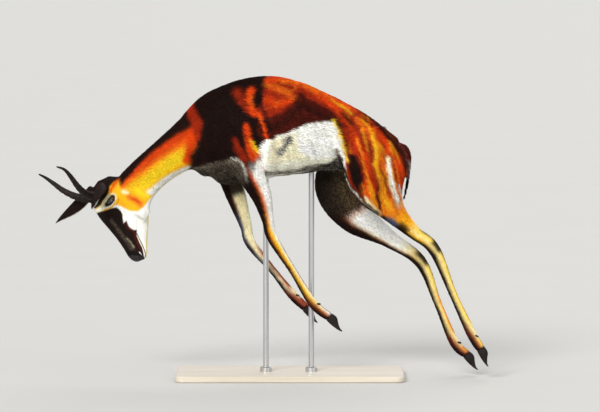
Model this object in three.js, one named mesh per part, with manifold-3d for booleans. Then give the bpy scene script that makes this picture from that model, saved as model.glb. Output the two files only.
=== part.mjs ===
// A life-size springbok coming down from a leap, held over a flat display base by two rods.
//
// Millimetres, +Z up. The animal faces -X, its left side faces -Y, and the origin lies on the
// underside of the base, at its centre. Each sub-part is one closed mesh. Touching parts keep GAP apart.
import * as THREE from "three";
import { mergeVertices } from "three/addons/utils/BufferGeometryUtils.js";
import Module from "manifold-3d";

const wasm = await Module();
wasm.setup();

// Driving dimensions
const GAP = 0.3; // between parts that touch
const EMBED = 0.45; // extra girth of a part where it cuts its neighbour, which leaves the gap on facets

// Overall places of the pose, from which the rest is set off
const HEAD_BACK = new THREE.Vector3(-548, 0, 570); // back of the skull
const HEAD_TILT = 25.5; // degrees that the face leans back from plumb, towards the chest
const HEAD_ROLL = 28; // degrees that the forehead turns towards the animal's left
const HEAD_LENGTH = 257; // back of the skull to the nose

// Colours of the coat and the rest
const COATS = {
  russet: new THREE.MeshStandardMaterial({ color: 0x9c4a1c, roughness: 0.85 }),
  tawny: new THREE.MeshStandardMaterial({ color: 0xd08a34, roughness: 0.85 }),
  dark: new THREE.MeshStandardMaterial({ color: 0x2a1710, roughness: 0.85 }),
  horn: new THREE.MeshStandardMaterial({ color: 0x17120f, roughness: 0.5 }),
  eye: new THREE.MeshStandardMaterial({ color: 0x0c0806, roughness: 0.1 }),
  plinth: new THREE.MeshStandardMaterial({ color: 0x2b2a29, roughness: 0.5 }),
  steel: new THREE.MeshStandardMaterial({ color: 0x8a8c8e, roughness: 0.35, metalness: 1 }),
};

const vec = (x, y, z) => new THREE.Vector3(x, y, z);
const radians = THREE.MathUtils.degToRad;

// A value of a row of numbers at a place along it, smooth through every row
function along(rows, place) {
  const last = rows.length - 1;
  const i = Math.min(Math.floor(place), last - 1);
  const t = place - i;
  const row = (k) => rows[Math.min(Math.max(k, 0), last)];
  return rows[0].map((_, c) => {
    const [p, q, r, s] = [row(i - 1)[c], row(i)[c], row(i + 1)[c], row(i + 2)[c]];
    const a = (r - p) / 2;
    const b = (s - q) / 2;
    return q + t * (a + t * (3 * (r - q) - 2 * a - b + t * (a + b - 2 * (r - q))));
  });
}

// A closed geometry through rings of points, each ring going the same way round
function skinOver(rings) {
  const sides = rings[0].length;
  const points = rings.flat();
  const faces = [];
  for (let i = 0; i + 1 < rings.length; i++)
    for (let j = 0; j < sides; j++) {
      const [a, b] = [i * sides + j, i * sides + ((j + 1) % sides)];
      faces.push(a, b, a + sides, b, b + sides, a + sides);
    }
  for (const [ring, first, turn] of [[rings[0], 0, 1], [rings.at(-1), (rings.length - 1) * sides, 0]]) {
    const hub = points.length;
    points.push(ring.reduce((sum, p) => sum.add(p), vec(0, 0, 0)).divideScalar(sides));
    for (let j = 0; j < sides; j++) {
      const [a, b] = [first + j, first + ((j + 1) % sides)];
      faces.push(hub, ...(turn ? [b, a] : [a, b]));
    }
  }
  const geometry = new THREE.BufferGeometry();
  geometry.setAttribute("position", new THREE.Float32BufferAttribute(points.flatMap((p) => p.toArray()), 3));
  geometry.setIndex(faces);
  return geometry;
}

// A manifold solid of a geometry, turned right side out where its rings ran the other way
function solid(geometry) {
  const bare = geometry.clone();
  for (const name of ["normal", "uv"]) if (bare.getAttribute(name)) bare.deleteAttribute(name);
  const merged = mergeVertices(bare, 1e-3);
  const make = (triVerts) =>
    new wasm.Manifold(
      new wasm.Mesh({ numProp: 3, vertProperties: new Float32Array(merged.attributes.position.array), triVerts }),
    );
  const faces = new Uint32Array(merged.index.array);
  const made = make(faces);
  if (made.volume() > 0) return made;
  return make(faces.map((_, i) => faces[i - (i % 3) + [0, 2, 1][i % 3]]));
}

// The largest closed surface of a solid, with any scrap or sealed hollow left out
function largest(body) {
  return body.decompose().reduce((best, b) => (b.volume() > best.volume() ? b : best));
}

// The solid of a chain: rows of x, y, z, ahead, behind, side, egg. Ahead is the half depth on the back
// or front side, egg makes that side narrower. Places from and to cut the chain square to its line.
function chain(rows, { sides, step, from = 0, to = rows.length - 1, grow = 0, round = false }) {
  const steps = Math.max(2, Math.ceil((to - from) / step));
  const rings = [];
  const ringAt = (place, scale, shift) => {
    const [x, y, z, ahead, behind, side, egg] = along(rows, place);
    const h = 0.02;
    const before = along(rows, Math.max(place - h, 0));
    const after = along(rows, Math.min(place + h, rows.length - 1));
    const t = vec(after[0] - before[0], after[1] - before[1], after[2] - before[2]).normalize();
    const across = vec(0, 1, 0).addScaledVector(t, -t.y).normalize();
    const up = across.clone().cross(t);
    const centre = vec(x, y, z).addScaledVector(t, shift);
    return Array.from({ length: sides }, (_, j) => {
      const turn = (2 * Math.PI * j) / sides;
      const c = Math.cos(turn);
      const depth = ((c > 0 ? ahead : behind) + grow) * scale;
      const width = (side + grow) * scale * (1 - egg * c);
      return centre.clone().addScaledVector(up, depth * c).addScaledVector(across, width * Math.sin(turn));
    });
  };
  const cap = round ? [0.35, 0.7, 0.92] : [];
  const reach = (place) => 0.5 * Math.min(...along(rows, place).slice(3, 6));
  for (const s of cap) rings.push(ringAt(from, s, -reach(from) * Math.sqrt(1 - s * s)));
  for (let i = 0; i <= steps; i++) rings.push(ringAt(from + ((to - from) * i) / steps, 1, 0));
  for (const s of [...cap].reverse()) rings.push(ringAt(to, s, reach(to) * Math.sqrt(1 - s * s)));
  return solid(skinOver(rings));
}

// Trunk, from the rump to the front of the chest: x, y, z, up, down, side, egg
const TRUNK = [
  [326, 0, 606, 36, 34, 30, 0],
  [278, 0, 622, 78, 62, 64, 0.1],
  [228, 0, 654, 87, 74, 76, 0.12],
  [170, 0, 686, 97, 84, 82, 0.12],
  [113, 0, 702, 114, 104, 88, 0.1],
  [54, 0, 713, 131, 124, 98, 0.1],
  [-3, 0, 722, 144, 138, 103, 0.12],
  [-68, 0, 726, 152, 148, 101, 0.14],
  [-148, 0, 713, 148, 150, 93, 0.12],
  [-218, 0, 702, 128, 146, 80, 0.06],
  [-267, 0, 688, 94, 128, 62, -0.06],
  [-298, 0, 670, 56, 105, 42, -0.1],
];

// Neck, from inside the chest to the back of the skull: the same columns
const NECK = [
  [-225, 0, 704, 96, 100, 66, 0.1],
  [-268, 0, 692, 84, 92, 60, 0.1],
  [-315, 0, 667, 67, 72, 50, 0.08],
  [-371, 0, 629, 57, 62, 43, 0.06],
  [-429, 0, 583, 52, 66, 39, 0.04],
  [-474, 0, 545, 44, 94, 38, 0.02],
  [-498, 0, 506, 30, 96, 34, 0],
];

// Tail, hanging close behind the rump: the same columns
const TAIL = [
  [302, 0, 676, 13, 13, 12, 0],
  [329, 0, 668, 13, 12, 12, 0],
  [343, 0, 640, 9, 10, 10, 0],
  [344, 0, 600, 7, 7, 8, 0],
  [338, 0, 555, 5.5, 5.5, 6, 0],
  [331, 0, 522, 4.5, 4.5, 5, 0],
];

// Girths down a fore leg: front, back, side, egg at blade, shoulder, elbow, forearm, above the knee,
// knee, cannon, fetlock and coronet
const FORE_GIRTHS = [
  [34, 34, 16, 0],
  [66, 70, 33, 0],
  [47, 46, 33, 0],
  [31, 33, 26, 0],
  [18.5, 20, 17, 0],
  [17.5, 17, 16, 0],
  [12, 12.5, 10.5, 0],
  [14, 16, 14, 0],
  [12.5, 14, 14, 0],
];
// The right foreleg is slimmer behind
const RIGHT_BEHIND = [34, 70, 35, 27];
const FORE_RIGHT_GIRTHS = FORE_GIRTHS.map(([ahead, behind, ...rest], i) => [ahead, RIGHT_BEHIND[i] ?? behind, ...rest]);
const FORE_LEFT = [
  [-203, -44, 790],
  [-187, -63, 713],
  [-132, -72, 627],
  [-86, -68, 539],
  [-65, -62, 464],
  [-50, -58, 410],
  [9, -54, 313],
  [67, -50, 218],
  [113, -49, 180],
];
const FORE_RIGHT = [
  [-203, 44, 790],
  [-196, 63, 708],
  [-180, 71, 612],
  [-151, 67, 512],
  [-130, 62, 438],
  [-113, 58, 385],
  [-49, 55, 306],
  [6, 52, 236],
  [45, 51, 199],
];

// Girths down a hind leg: front, back, side, egg at haunch, rump, thigh, gaskin, tendon, hock, cannon,
// fetlock and coronet
const HIND_GIRTHS = [
  [60, 52, 30, 0],
  [92, 92, 46, 0],
  [76, 86, 41, 0],
  [38, 43, 29, 0],
  [21, 25, 19, 0],
  [18, 20, 15.5, 0],
  [13, 13, 10.5, 0],
  [14.5, 16.5, 14, 0],
  [13, 14.5, 14, 0],
];
// The right thigh is drawn up, and is fuller in front
const RIGHT_AHEAD = [60, 92, 104, 72, 31, 19];
const HIND_RIGHT_GIRTHS = HIND_GIRTHS.map(([ahead, ...rest], i) => [RIGHT_AHEAD[i] ?? ahead, ...rest]);
const HIND_LEFT = [
  [222, -44, 722],
  [238, -54, 640],
  [253, -62, 560],
  [293, -62, 491],
  [352, -59, 430],
  [416, -56, 375],
  [471, -53, 248],
  [525, -50, 130],
  [551, -49, 88],
];
const HIND_RIGHT = [
  [216, 44, 718],
  [200, 54, 640],
  [174, 64, 556],
  [203, 64, 476],
  [290, 60, 402],
  [380, 57, 332],
  [430, 54, 214],
  [478, 52, 98],
  [514, 51, 62],
];

// A claw of a hoof, from the coronet to the toe: reach, front, back, half width
const CLAW = [
  [0, 11.5, -12.5, 6.6],
  [9, 12.5, -14, 7.8],
  [20, 13, -12.5, 8.2],
  [34, 12.5, -2, 7.2],
  [46, 11, 5, 5],
  [55, 8.5, 6.5, 1.6],
];
const CLAW_APART = 9; // middle of a claw from the middle of the foot
const DEWCLAW = { length: 13, radius: 5, down: 7.5, back: 8, out: 8 }; // set off from the fetlock

// Head sections, from the back of the skull to the nose: reach, top, bottom, half width, egg
const HEAD = [
  [-3, 10, -30, 15, 0],
  [8, 28, -50, 31, 0],
  [28, 43, -70, 40, -0.06],
  [50, 51, -85, 45, -0.16],
  [74, 53, -88, 46, -0.2],
  [100, 50, -96, 42, -0.18],
  [132, 42, -98, 34, -0.14],
  [168, 33, -80, 28, -0.08],
  [204, 27, -57, 24.5, 0],
  [232, 24, -40, 23.5, 0],
  [248, 17, -31, 19.5, 0],
  [HEAD_LENGTH, 5, -23, 11, 0],
];
const EYE = { reach: 63, height: 17, out: 34, radius: 15.5 };
const LID = { radius: 3.6, stand: 0.8 };
const MOUTH = { corner: 182, drop: -19, front: -22, slit: 1.8, depth: 4 };
const NOSTRIL = { reach: 246, height: 3, out: 13, radius: 4 };

// Line of a horn: reach, height, out; and how thick it is
const HORN_LINE = [
  [34, 32, 17],
  [24, 58, 23],
  [4, 80, 35],
  [-24, 97, 52],
  [-55, 109, 66],
  [-80, 121, 74],
  [-97, 137, 69],
];
const HORN = { root: 12.5, tip: 2, rings: 9, ring: 1.5 };

// An ear's root in the head and the way it points, in the head's directions
const EAR = { reach: 12, height: 22, out: 31, ahead: 0.27, up: 0.64, aside: 0.68, length: 156, width: 25, wall: 3.4 };

// The head's own directions: along the face, up through the crown and out to the animal's right
const FACE = vec(Math.sin(radians(HEAD_TILT)), 0, -Math.cos(radians(HEAD_TILT)));
const PLUMB_CROWN = vec(-Math.cos(radians(HEAD_TILT)), 0, -Math.sin(radians(HEAD_TILT)));
const CROWN = PLUMB_CROWN.clone().applyAxisAngle(FACE, -radians(HEAD_ROLL));
const RIGHT = vec(0, 1, 0).applyAxisAngle(FACE, -radians(HEAD_ROLL));
const onHead = (reach, height, out) =>
  HEAD_BACK.clone().addScaledVector(FACE, reach).addScaledVector(CROWN, height).addScaledVector(RIGHT, out);

// A tube through points, with a radius at each place of 0 to 1 and a flat factor across one direction
function tube(points, radiusAt, { sides = 10, steps = 12, flatten = 1, across = RIGHT } = {}) {
  const curve = new THREE.CatmullRomCurve3(points, false, "centripetal");
  const rings = [];
  for (let i = 0; i <= steps; i++) {
    const u = i / steps;
    const t = curve.getTangentAt(u);
    const a = across.clone().addScaledVector(t, -across.dot(t)).normalize();
    const b = a.clone().cross(t);
    const r = radiusAt(u);
    rings.push(
      Array.from({ length: sides }, (_, j) => {
        const turn = (2 * Math.PI * j) / sides;
        return curve.getPointAt(u)
          .addScaledVector(a, r * Math.cos(turn))
          .addScaledVector(b, r * flatten * Math.sin(turn));
      }),
    );
  }
  return solid(skinOver(rings));
}

// A sphere, stretched along the head's directions
function ball(centre, [ahead, up, out], detail = 16) {
  const turn = new THREE.Matrix4().makeBasis(
    FACE.clone().multiplyScalar(ahead),
    CROWN.clone().multiplyScalar(up),
    RIGHT.clone().multiplyScalar(out),
  );
  const place = new THREE.Matrix4().makeTranslation(...centre).multiply(turn);
  return solid(new THREE.SphereGeometry(1, detail, Math.round(detail * 0.7)).applyMatrix4(place));
}

// The head's shell of sections, grown outwards by a little or shrunk
function headShell(grow, sides = 22, step = 0.55) {
  const rings = [];
  const places = HEAD.length - 1;
  const steps = Math.ceil(places / step);
  for (let i = 0; i <= steps; i++) {
    const [reach, top, bottom, side, egg] = along(HEAD, (places * i) / steps);
    const middle = (top + bottom) / 2;
    const half = (top - bottom) / 2 + grow;
    rings.push(
      Array.from({ length: sides }, (_, j) => {
        const turn = (2 * Math.PI * j) / sides;
        const c = Math.cos(turn);
        return onHead(reach, middle + half * c, (side + grow) * (1 - egg * c) * Math.sin(turn));
      }),
    );
  }
  return solid(skinOver(rings));
}

// The middle of the lids at a turn round the eye, on the left (-1) or right (1)
function lidPoint(hand, turn) {
  const long = EYE.radius * 1.06;
  const high = EYE.radius * 0.74;
  return onHead(
    EYE.reach - Math.cos(turn) * long,
    EYE.height + Math.sin(turn) * high,
    hand * (EYE.out + 7.6 + Math.abs(Math.sin(turn)) * 2.5),
  );
}

// The head: skull, brow, cheeks, lids, lips and nostrils in one piece
function headSolid() {
  let head = headShell(0);
  for (const hand of [-1, 1]) {
    head = head
      .add(ball(onHead(EYE.reach, EYE.height - 3, hand * 28), [30, 23, 20]))
      .add(ball(onHead(66, -32, hand * 22), [46, 29, 20], 14))
      .add(ball(onHead(238, 1, hand * 12), [17, 15, 11], 12));
    const halves = [[0, Math.PI], [Math.PI, 2 * Math.PI]];
    for (const [start, end] of halves) {
      const points = Array.from({ length: 7 }, (_, i) => lidPoint(hand, start + ((end - start) * i) / 6));
      head = head.add(tube(points, (u) => LID.radius * (0.45 + 0.55 * Math.sin(Math.PI * u)), { sides: 6, steps: 8 }));
    }
    head = head.subtract(
      ball(onHead(EYE.reach, EYE.height, hand * EYE.out), [1, 1, 1].map(() => EYE.radius + GAP + 0.3), 16),
    );
  }
  const lips = [onHead(MOUTH.corner - 8, MOUTH.drop - 2, 0), onHead(246, MOUTH.front - 1, 0)];
  const plate = new THREE.BoxGeometry(lips[0].distanceTo(lips[1]) + 40, MOUTH.slit, 120);
  const forward = lips[1].clone().sub(lips[0]).normalize();
  plate.applyMatrix4(new THREE.Matrix4().makeBasis(forward, RIGHT.clone().cross(forward), RIGHT));
  plate.translate(...lips[0].clone().lerp(lips[1], 0.5).addScaledVector(forward, 20));
  head = head.subtract(solid(plate).subtract(headShell(-MOUTH.depth, 20, 0.6)));
  for (const hand of [-1, 1]) {
    const hole = [
      onHead(NOSTRIL.reach + 7, NOSTRIL.height - 5, hand * (NOSTRIL.out - 4)),
      onHead(NOSTRIL.reach, NOSTRIL.height + 1, hand * (NOSTRIL.out + 4)),
      onHead(NOSTRIL.reach - 8, NOSTRIL.height + 4, hand * (NOSTRIL.out + 9)),
    ];
    head = head.subtract(tube(hole, (u) => NOSTRIL.radius * (0.5 + 0.7 * Math.sin(Math.PI * u)), { sides: 8, steps: 5 }));
  }
  return largest(head);
}

// A ringed horn, swept back from the brow, spread wide and turned in at the tip
function hornSolid(hand, grow = 0) {
  const points = HORN_LINE.map(([reach, height, out]) => onHead(reach, height, hand * out));
  const ringed = (u) => {
    const smooth = HORN.tip + (HORN.root - HORN.tip) * Math.pow(1 - u, 0.8);
    const fade = Math.sqrt(Math.max(0, 1 - u / 0.72));
    return smooth + HORN.ring * fade * Math.abs(Math.sin(Math.PI * HORN.rings * 1.4 * u)) + grow;
  };
  return tube(points, ringed, { sides: 10, steps: 34 });
}

// An ear as a leaf-shaped cup: an arc of wall whose span opens from the root to the tip
function earCup(hand, grow = 0) {
  const root = onHead(EAR.reach, EAR.height, hand * EAR.out);
  const tip = root.clone()
    .addScaledVector(FACE, EAR.ahead)
    .addScaledVector(CROWN, EAR.up)
    .addScaledVector(RIGHT, hand * EAR.aside);
  const line = tip.clone().sub(root).normalize();
  const open = RIGHT.clone().multiplyScalar(hand * 0.55).addScaledVector(FACE, 0.85);
  open.addScaledVector(line, -open.dot(line)).normalize();
  const wide = open.clone().cross(line);
  const rings = [];
  const steps = 12;
  const half = 8;
  for (let i = 0; i <= steps; i++) {
    const u = i / steps;
    const width = EAR.width * Math.pow(Math.sin(Math.PI * Math.min(0.98, 0.16 + 0.84 * u)), 0.75) + 0.6;
    const span = radians(250 - 130 * u);
    const wall = EAR.wall * (1 - 0.72 * u) + 2 * grow;
    const bend = 10 * Math.sin(Math.PI * u);
    const centre = root.clone().addScaledVector(line, EAR.length * u * 0.98).addScaledVector(open, bend);
    const arc = (radius, turn) =>
      centre.clone()
        .addScaledVector(wide, radius * Math.sin(turn))
        .addScaledVector(open, -radius * Math.cos(turn) * 0.8);
    const turns = Array.from({ length: half }, (_, k) => -span / 2 + (span * k) / (half - 1));
    const outer = turns.map((t) => arc(width + grow, t));
    const inner = turns.map((t) => arc(Math.max(0.25, width + grow - wall), t * 0.97)).reverse();
    rings.push([...outer, ...inner]);
  }
  return solid(skinOver(rings));
}

// One claw of a foot at the end of a leg's line, on its inner (-1) or outer (1) side
function claw(joints, hand) {
  const coronet = vec(...joints.at(-1));
  const t = coronet.clone().sub(vec(...joints.at(-2))).normalize();
  const across = vec(0, 1, 0).addScaledVector(t, -t.y).normalize();
  const up = across.clone().cross(t);
  const sides = 10;
  const rings = [];
  const steps = 6;
  for (let i = 0; i <= steps; i++) {
    const [reach, front, back, side] = along(CLAW, ((CLAW.length - 1) * i) / steps);
    const middle = coronet.clone()
      .addScaledVector(t, reach + GAP)
      .addScaledVector(up, (front + back) / 2)
      .addScaledVector(across, hand * (CLAW_APART + reach * 0.02));
    rings.push(
      Array.from({ length: sides }, (_, j) => {
        const turn = (2 * Math.PI * (j + 0.5)) / sides;
        const [c, s] = [Math.cos(turn), Math.sin(turn)];
        const square = (v) => Math.sign(v) * Math.pow(Math.abs(v), 0.75);
        return middle.clone()
          .addScaledVector(up, ((front - back) / 2) * square(c))
          .addScaledVector(across, side * square(s));
      }),
    );
  }
  return solid(skinOver(rings));
}

// The two small dewclaws behind a fetlock
function dewclaws(rows) {
  const fetlock = vec(...rows[7]);
  const t = vec(...rows[8]).sub(fetlock).normalize();
  const across = vec(0, 1, 0).addScaledVector(t, -t.y).normalize();
  const back = t.clone().cross(across);
  return [-1, 1].map((hand) => {
    const root = fetlock.clone()
      .addScaledVector(t, DEWCLAW.down)
      .addScaledVector(back, DEWCLAW.back)
      .addScaledVector(across, hand * DEWCLAW.out);
    const tip = root.clone().addScaledVector(back, DEWCLAW.length * 0.8).addScaledVector(t, DEWCLAW.length * 0.75);
    return tube([root, root.clone().lerp(tip, 0.5), tip], (u) => DEWCLAW.radius * (1 - 0.62 * u * u), {
      sides: 6,
      steps: 3,
      across,
    });
  });
}

// Hair of the tail's tip: flat tapered locks that leave the tail low down and hang past its end
function tailTuft(tail) {
  const locks = 7;
  let tuft = tail;
  for (let k = 0; k < locks; k++) {
    const turn = (2 * Math.PI * k) / locks;
    const start = 3.55 + 0.9 * ((k * 0.382) % 1);
    const [x, y, z] = along(TAIL, start);
    const out = vec(Math.cos(turn), Math.sin(turn), 0);
    const long = 62 + 16 * ((k * 0.618) % 1);
    const points = [
      vec(x, y, z).addScaledVector(out, 1),
      vec(x - long * 0.1, y, z - long * 0.38).addScaledVector(out, 7.5),
      vec(x - long * 0.2, y, z - long * 0.72).addScaledVector(out, 7),
      vec(x - long * 0.27, y, z - long).addScaledVector(out, 2.5 + 2 * (k % 3)),
    ];
    const across = vec(-Math.sin(turn), Math.cos(turn), 0);
    const taper = (u) => 4.6 * Math.pow(Math.sin(Math.PI * (0.28 + 0.7 * u)), 0.8) + 0.3;
    tuft = tuft.add(tube(points, taper, { sides: 5, steps: 4, flatten: 0.42, across }));
  }
  return tuft;
}

// Display base and rods
const BASE = { length: 660, width: 330, height: 18, corner: 24, edge: 3 };
const ROD = { radius: 8, places: [-70, 62], collar: 17, collarHeight: 14 };

function baseSolid() {
  const [l, w, r] = [BASE.length / 2 - BASE.edge, BASE.width / 2 - BASE.edge, BASE.corner];
  const outline = new THREE.Shape();
  outline.moveTo(-l + r, -w).lineTo(l - r, -w).absarc(l - r, -w + r, r, -Math.PI / 2, 0);
  outline.lineTo(l, w - r).absarc(l - r, w - r, r, 0, Math.PI / 2);
  outline.lineTo(-l + r, w).absarc(-l + r, w - r, r, Math.PI / 2, Math.PI);
  outline.lineTo(-l, -w + r).absarc(-l + r, -w + r, r, Math.PI, 1.5 * Math.PI);
  const plate = new THREE.ExtrudeGeometry(outline, {
    depth: BASE.height - 2 * BASE.edge,
    bevelThickness: BASE.edge,
    bevelSize: BASE.edge,
    bevelSegments: 1,
    curveSegments: 4,
  });
  return solid(plate.translate(0, 0, BASE.edge));
}

// A rod with its collar, standing on the base and cut where the belly sits on it
function rodSolid(x, trunk) {
  const foot = BASE.height + GAP;
  const top = 720;
  const profile = [
    [0, 0],
    [ROD.collar, 0],
    [ROD.collar, ROD.collarHeight - 3],
    [ROD.collar - 3, ROD.collarHeight],
    [ROD.radius, ROD.collarHeight],
    [ROD.radius, top - foot],
    [0, top - foot],
  ].map(([r, z]) => new THREE.Vector2(r, z));
  const rod = new THREE.LatheGeometry(profile, 20).rotateX(Math.PI / 2).translate(x, 0, foot);
  return solid(rod).subtract(trunk);
}

// Assembly
const group = new THREE.Group();

function place(name, body, material) {
  const data = largest(body).getMesh();
  const geometry = new THREE.BufferGeometry();
  geometry.setAttribute("position", new THREE.BufferAttribute(new Float32Array(data.vertProperties), 3));
  geometry.setIndex(new THREE.BufferAttribute(new Uint32Array(data.triVerts), 1));
  const mesh = new THREE.Mesh(geometry, material);
  mesh.name = name;
  group.add(mesh);
}

const trunkShape = { sides: 26, step: 0.42, round: true };
const trunk = chain(TRUNK, trunkShape);
const trunkCutter = chain(TRUNK, { ...trunkShape, grow: EMBED });
const head = headSolid();
const headCutter = headShell(EMBED).add(head);
const shaped = (joints, girths) => joints.map((joint, i) => [...joint, ...girths[i]]);

// Where each leg is parted: its name, first place and last place along the chain
const FORE_LENGTHS = [["shoulder", 0, 2.35], ["forearm", 2.35, 5], ["shank", 5, 7], ["pastern", 7, 8]];
const HIND_LENGTHS = [["haunch", 0, 2.45], ["gaskin", 2.45, 5], ["shank", 5, 7], ["pastern", 7, 8]];
const legs = [
  ["fore_left", FORE_LEFT, FORE_GIRTHS, FORE_LENGTHS],
  ["fore_right", FORE_RIGHT, FORE_RIGHT_GIRTHS, FORE_LENGTHS],
  ["hind_left", HIND_LEFT, HIND_GIRTHS, HIND_LENGTHS],
  ["hind_right", HIND_RIGHT, HIND_RIGHT_GIRTHS, HIND_LENGTHS],
];
const halfGap = 0.004; // of one place along a leg, about half the gap

place("torso", trunk, COATS.russet);
const neckShape = { sides: 22, step: 0.45 };
place("neck", chain(NECK, neckShape).subtract(trunkCutter).subtract(headCutter), COATS.tawny);
place("head", head, COATS.dark);

for (const [limb, joints, girths, lengths] of legs) {
  const rows = shaped(joints, girths);
  for (const [part, from, to] of lengths) {
    const thick = from === 0;
    const shape = { sides: thick ? 20 : 12, step: thick ? 0.24 : 0.3 };
    const ends = { from: from + (thick ? 0 : halfGap), to: to - halfGap };
    let body = chain(rows, { ...shape, ...ends });
    if (to <= 5) body = body.subtract(trunkCutter);
    if (part === "pastern") for (const spur of dewclaws(rows)) body = body.add(spur);
    place(`${limb}_${part}`, body, thick ? COATS.russet : COATS.tawny);
  }
  place(`${limb}_claw_inner`, claw(joints, joints[8][1] > 0 ? -1 : 1), COATS.horn);
  place(`${limb}_claw_outer`, claw(joints, joints[8][1] > 0 ? 1 : -1), COATS.horn);
}

for (const [side, hand] of [["left", -1], ["right", 1]]) {
  place(`eye_${side}`, ball(onHead(EYE.reach, EYE.height, hand * EYE.out), [1, 1, 1].map(() => EYE.radius)), COATS.eye);
  place(`horn_${side}`, hornSolid(hand).subtract(headCutter), COATS.horn);
  place(`ear_${side}`, earCup(hand).subtract(headCutter).subtract(hornSolid(hand, GAP)), COATS.dark);
}

place("tail", tailTuft(chain(TAIL, { sides: 10, step: 0.4, round: true }).subtract(trunkCutter)), COATS.dark);

place("stand_base", baseSolid(), COATS.plinth);
ROD.places.forEach((x, i) => place(`stand_rod_${i ? "rear" : "front"}`, rodSolid(x, trunkCutter), COATS.steel));

export default group;
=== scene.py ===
"""A life-size springbok coming down from a leap, held over a flat display base by two rods.

The animal faces -X with its left side towards -Y, and the floor is z = 0. Body tables are in
millimetres, as they are in the part's own source; everything that is built from them is in metres.
"""

from __future__ import annotations

import logging
import math
from dataclasses import dataclass, field
from enum import Enum, IntEnum
from typing import Any, Callable, Sequence

import bmesh
import bpy
import numpy as np
from bpy.types import ID, Material, Mesh, NodeSocket, NodeTree, Object
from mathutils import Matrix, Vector

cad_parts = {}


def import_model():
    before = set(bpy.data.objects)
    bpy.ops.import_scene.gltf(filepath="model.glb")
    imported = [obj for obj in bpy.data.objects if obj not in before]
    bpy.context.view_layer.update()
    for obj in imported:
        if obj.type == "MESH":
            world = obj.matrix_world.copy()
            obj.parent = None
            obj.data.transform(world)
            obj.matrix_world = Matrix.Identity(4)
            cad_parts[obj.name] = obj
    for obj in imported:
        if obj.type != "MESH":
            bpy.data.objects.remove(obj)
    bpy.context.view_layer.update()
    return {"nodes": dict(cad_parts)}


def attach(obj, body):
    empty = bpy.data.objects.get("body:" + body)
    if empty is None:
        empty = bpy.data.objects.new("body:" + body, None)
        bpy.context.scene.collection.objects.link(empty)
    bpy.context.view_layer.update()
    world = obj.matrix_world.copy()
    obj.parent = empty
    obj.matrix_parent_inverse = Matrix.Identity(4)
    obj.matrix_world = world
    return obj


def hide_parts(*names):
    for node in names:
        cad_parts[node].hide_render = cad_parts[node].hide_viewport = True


log = logging.getLogger("springbok")

MM = 0.001
BODY = "root"

# Depth of the coat over the skin, and how finely the skin is meshed
COAT_DEPTH = 3.0 * MM
LEG_COAT_DEPTH = 1.1 * MM
SKIN_CELL = 4.5 * MM
BAKE_PATCH = 0.003

# How finely a place along the body is looked for, and how many points at a time
PLACE_STEP = 0.08
BATCH = 20000

TUFT_DENSITY = 1200000.0
TUFT_THICKNESS = 0.42
QUICK_SPACING = 2.2
QUICK_WIDTH = 1.7

# The side view that the markings are laid out on: units of 2.9 mm, right of and below its corner
VIEW_UNIT = 2.9 * MM
VIEW_ORIGIN = (290.0, 378.0)

Array = np.ndarray
Point = tuple[float, float, float]
Colour = tuple[float, float, float]
Rows = tuple[tuple[float, ...], ...]
Shell = tuple[Array, list[tuple[int, ...]]]
Line = tuple[tuple[float, float], ...]


# Body tables: x, y, z, ahead or up, behind or down, side, egg

TRUNK_ROWS: Rows = (
    (326, 0, 606, 36, 34, 30, 0),
    (278, 0, 622, 78, 62, 64, 0.1),
    (228, 0, 654, 87, 74, 76, 0.12),
    (170, 0, 686, 97, 84, 82, 0.12),
    (113, 0, 702, 114, 104, 88, 0.1),
    (54, 0, 713, 131, 124, 98, 0.1),
    (-3, 0, 722, 144, 138, 103, 0.12),
    (-68, 0, 726, 152, 148, 101, 0.14),
    (-148, 0, 713, 148, 150, 93, 0.12),
    (-218, 0, 702, 128, 146, 80, 0.06),
    (-267, 0, 688, 94, 128, 62, -0.06),
    (-298, 0, 670, 56, 105, 42, -0.1),
)
NECK_ROWS: Rows = (
    (-225, 0, 704, 96, 100, 66, 0.1),
    (-268, 0, 692, 84, 92, 60, 0.1),
    (-315, 0, 667, 67, 72, 50, 0.08),
    (-371, 0, 629, 57, 62, 43, 0.06),
    (-429, 0, 583, 52, 66, 39, 0.04),
    (-474, 0, 545, 44, 94, 38, 0.02),
    (-498, 0, 506, 30, 96, 34, 0),
)
TAIL_ROWS: Rows = (
    (302, 0, 676, 13, 13, 12, 0),
    (329, 0, 668, 13, 12, 12, 0),
    (343, 0, 640, 9, 10, 10, 0),
    (344, 0, 600, 7, 7, 8, 0),
    (338, 0, 555, 5.5, 5.5, 6, 0),
    (331, 0, 522, 4.5, 4.5, 5, 0),
)
FORE_GIRTHS: Rows = (
    (34, 34, 16, 0),
    (66, 70, 33, 0),
    (47, 46, 33, 0),
    (31, 33, 26, 0),
    (18.5, 20, 17, 0),
    (17.5, 17, 16, 0),
    (12, 12.5, 10.5, 0),
    (14, 16, 14, 0),
    (12.5, 14, 14, 0),
)
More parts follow.
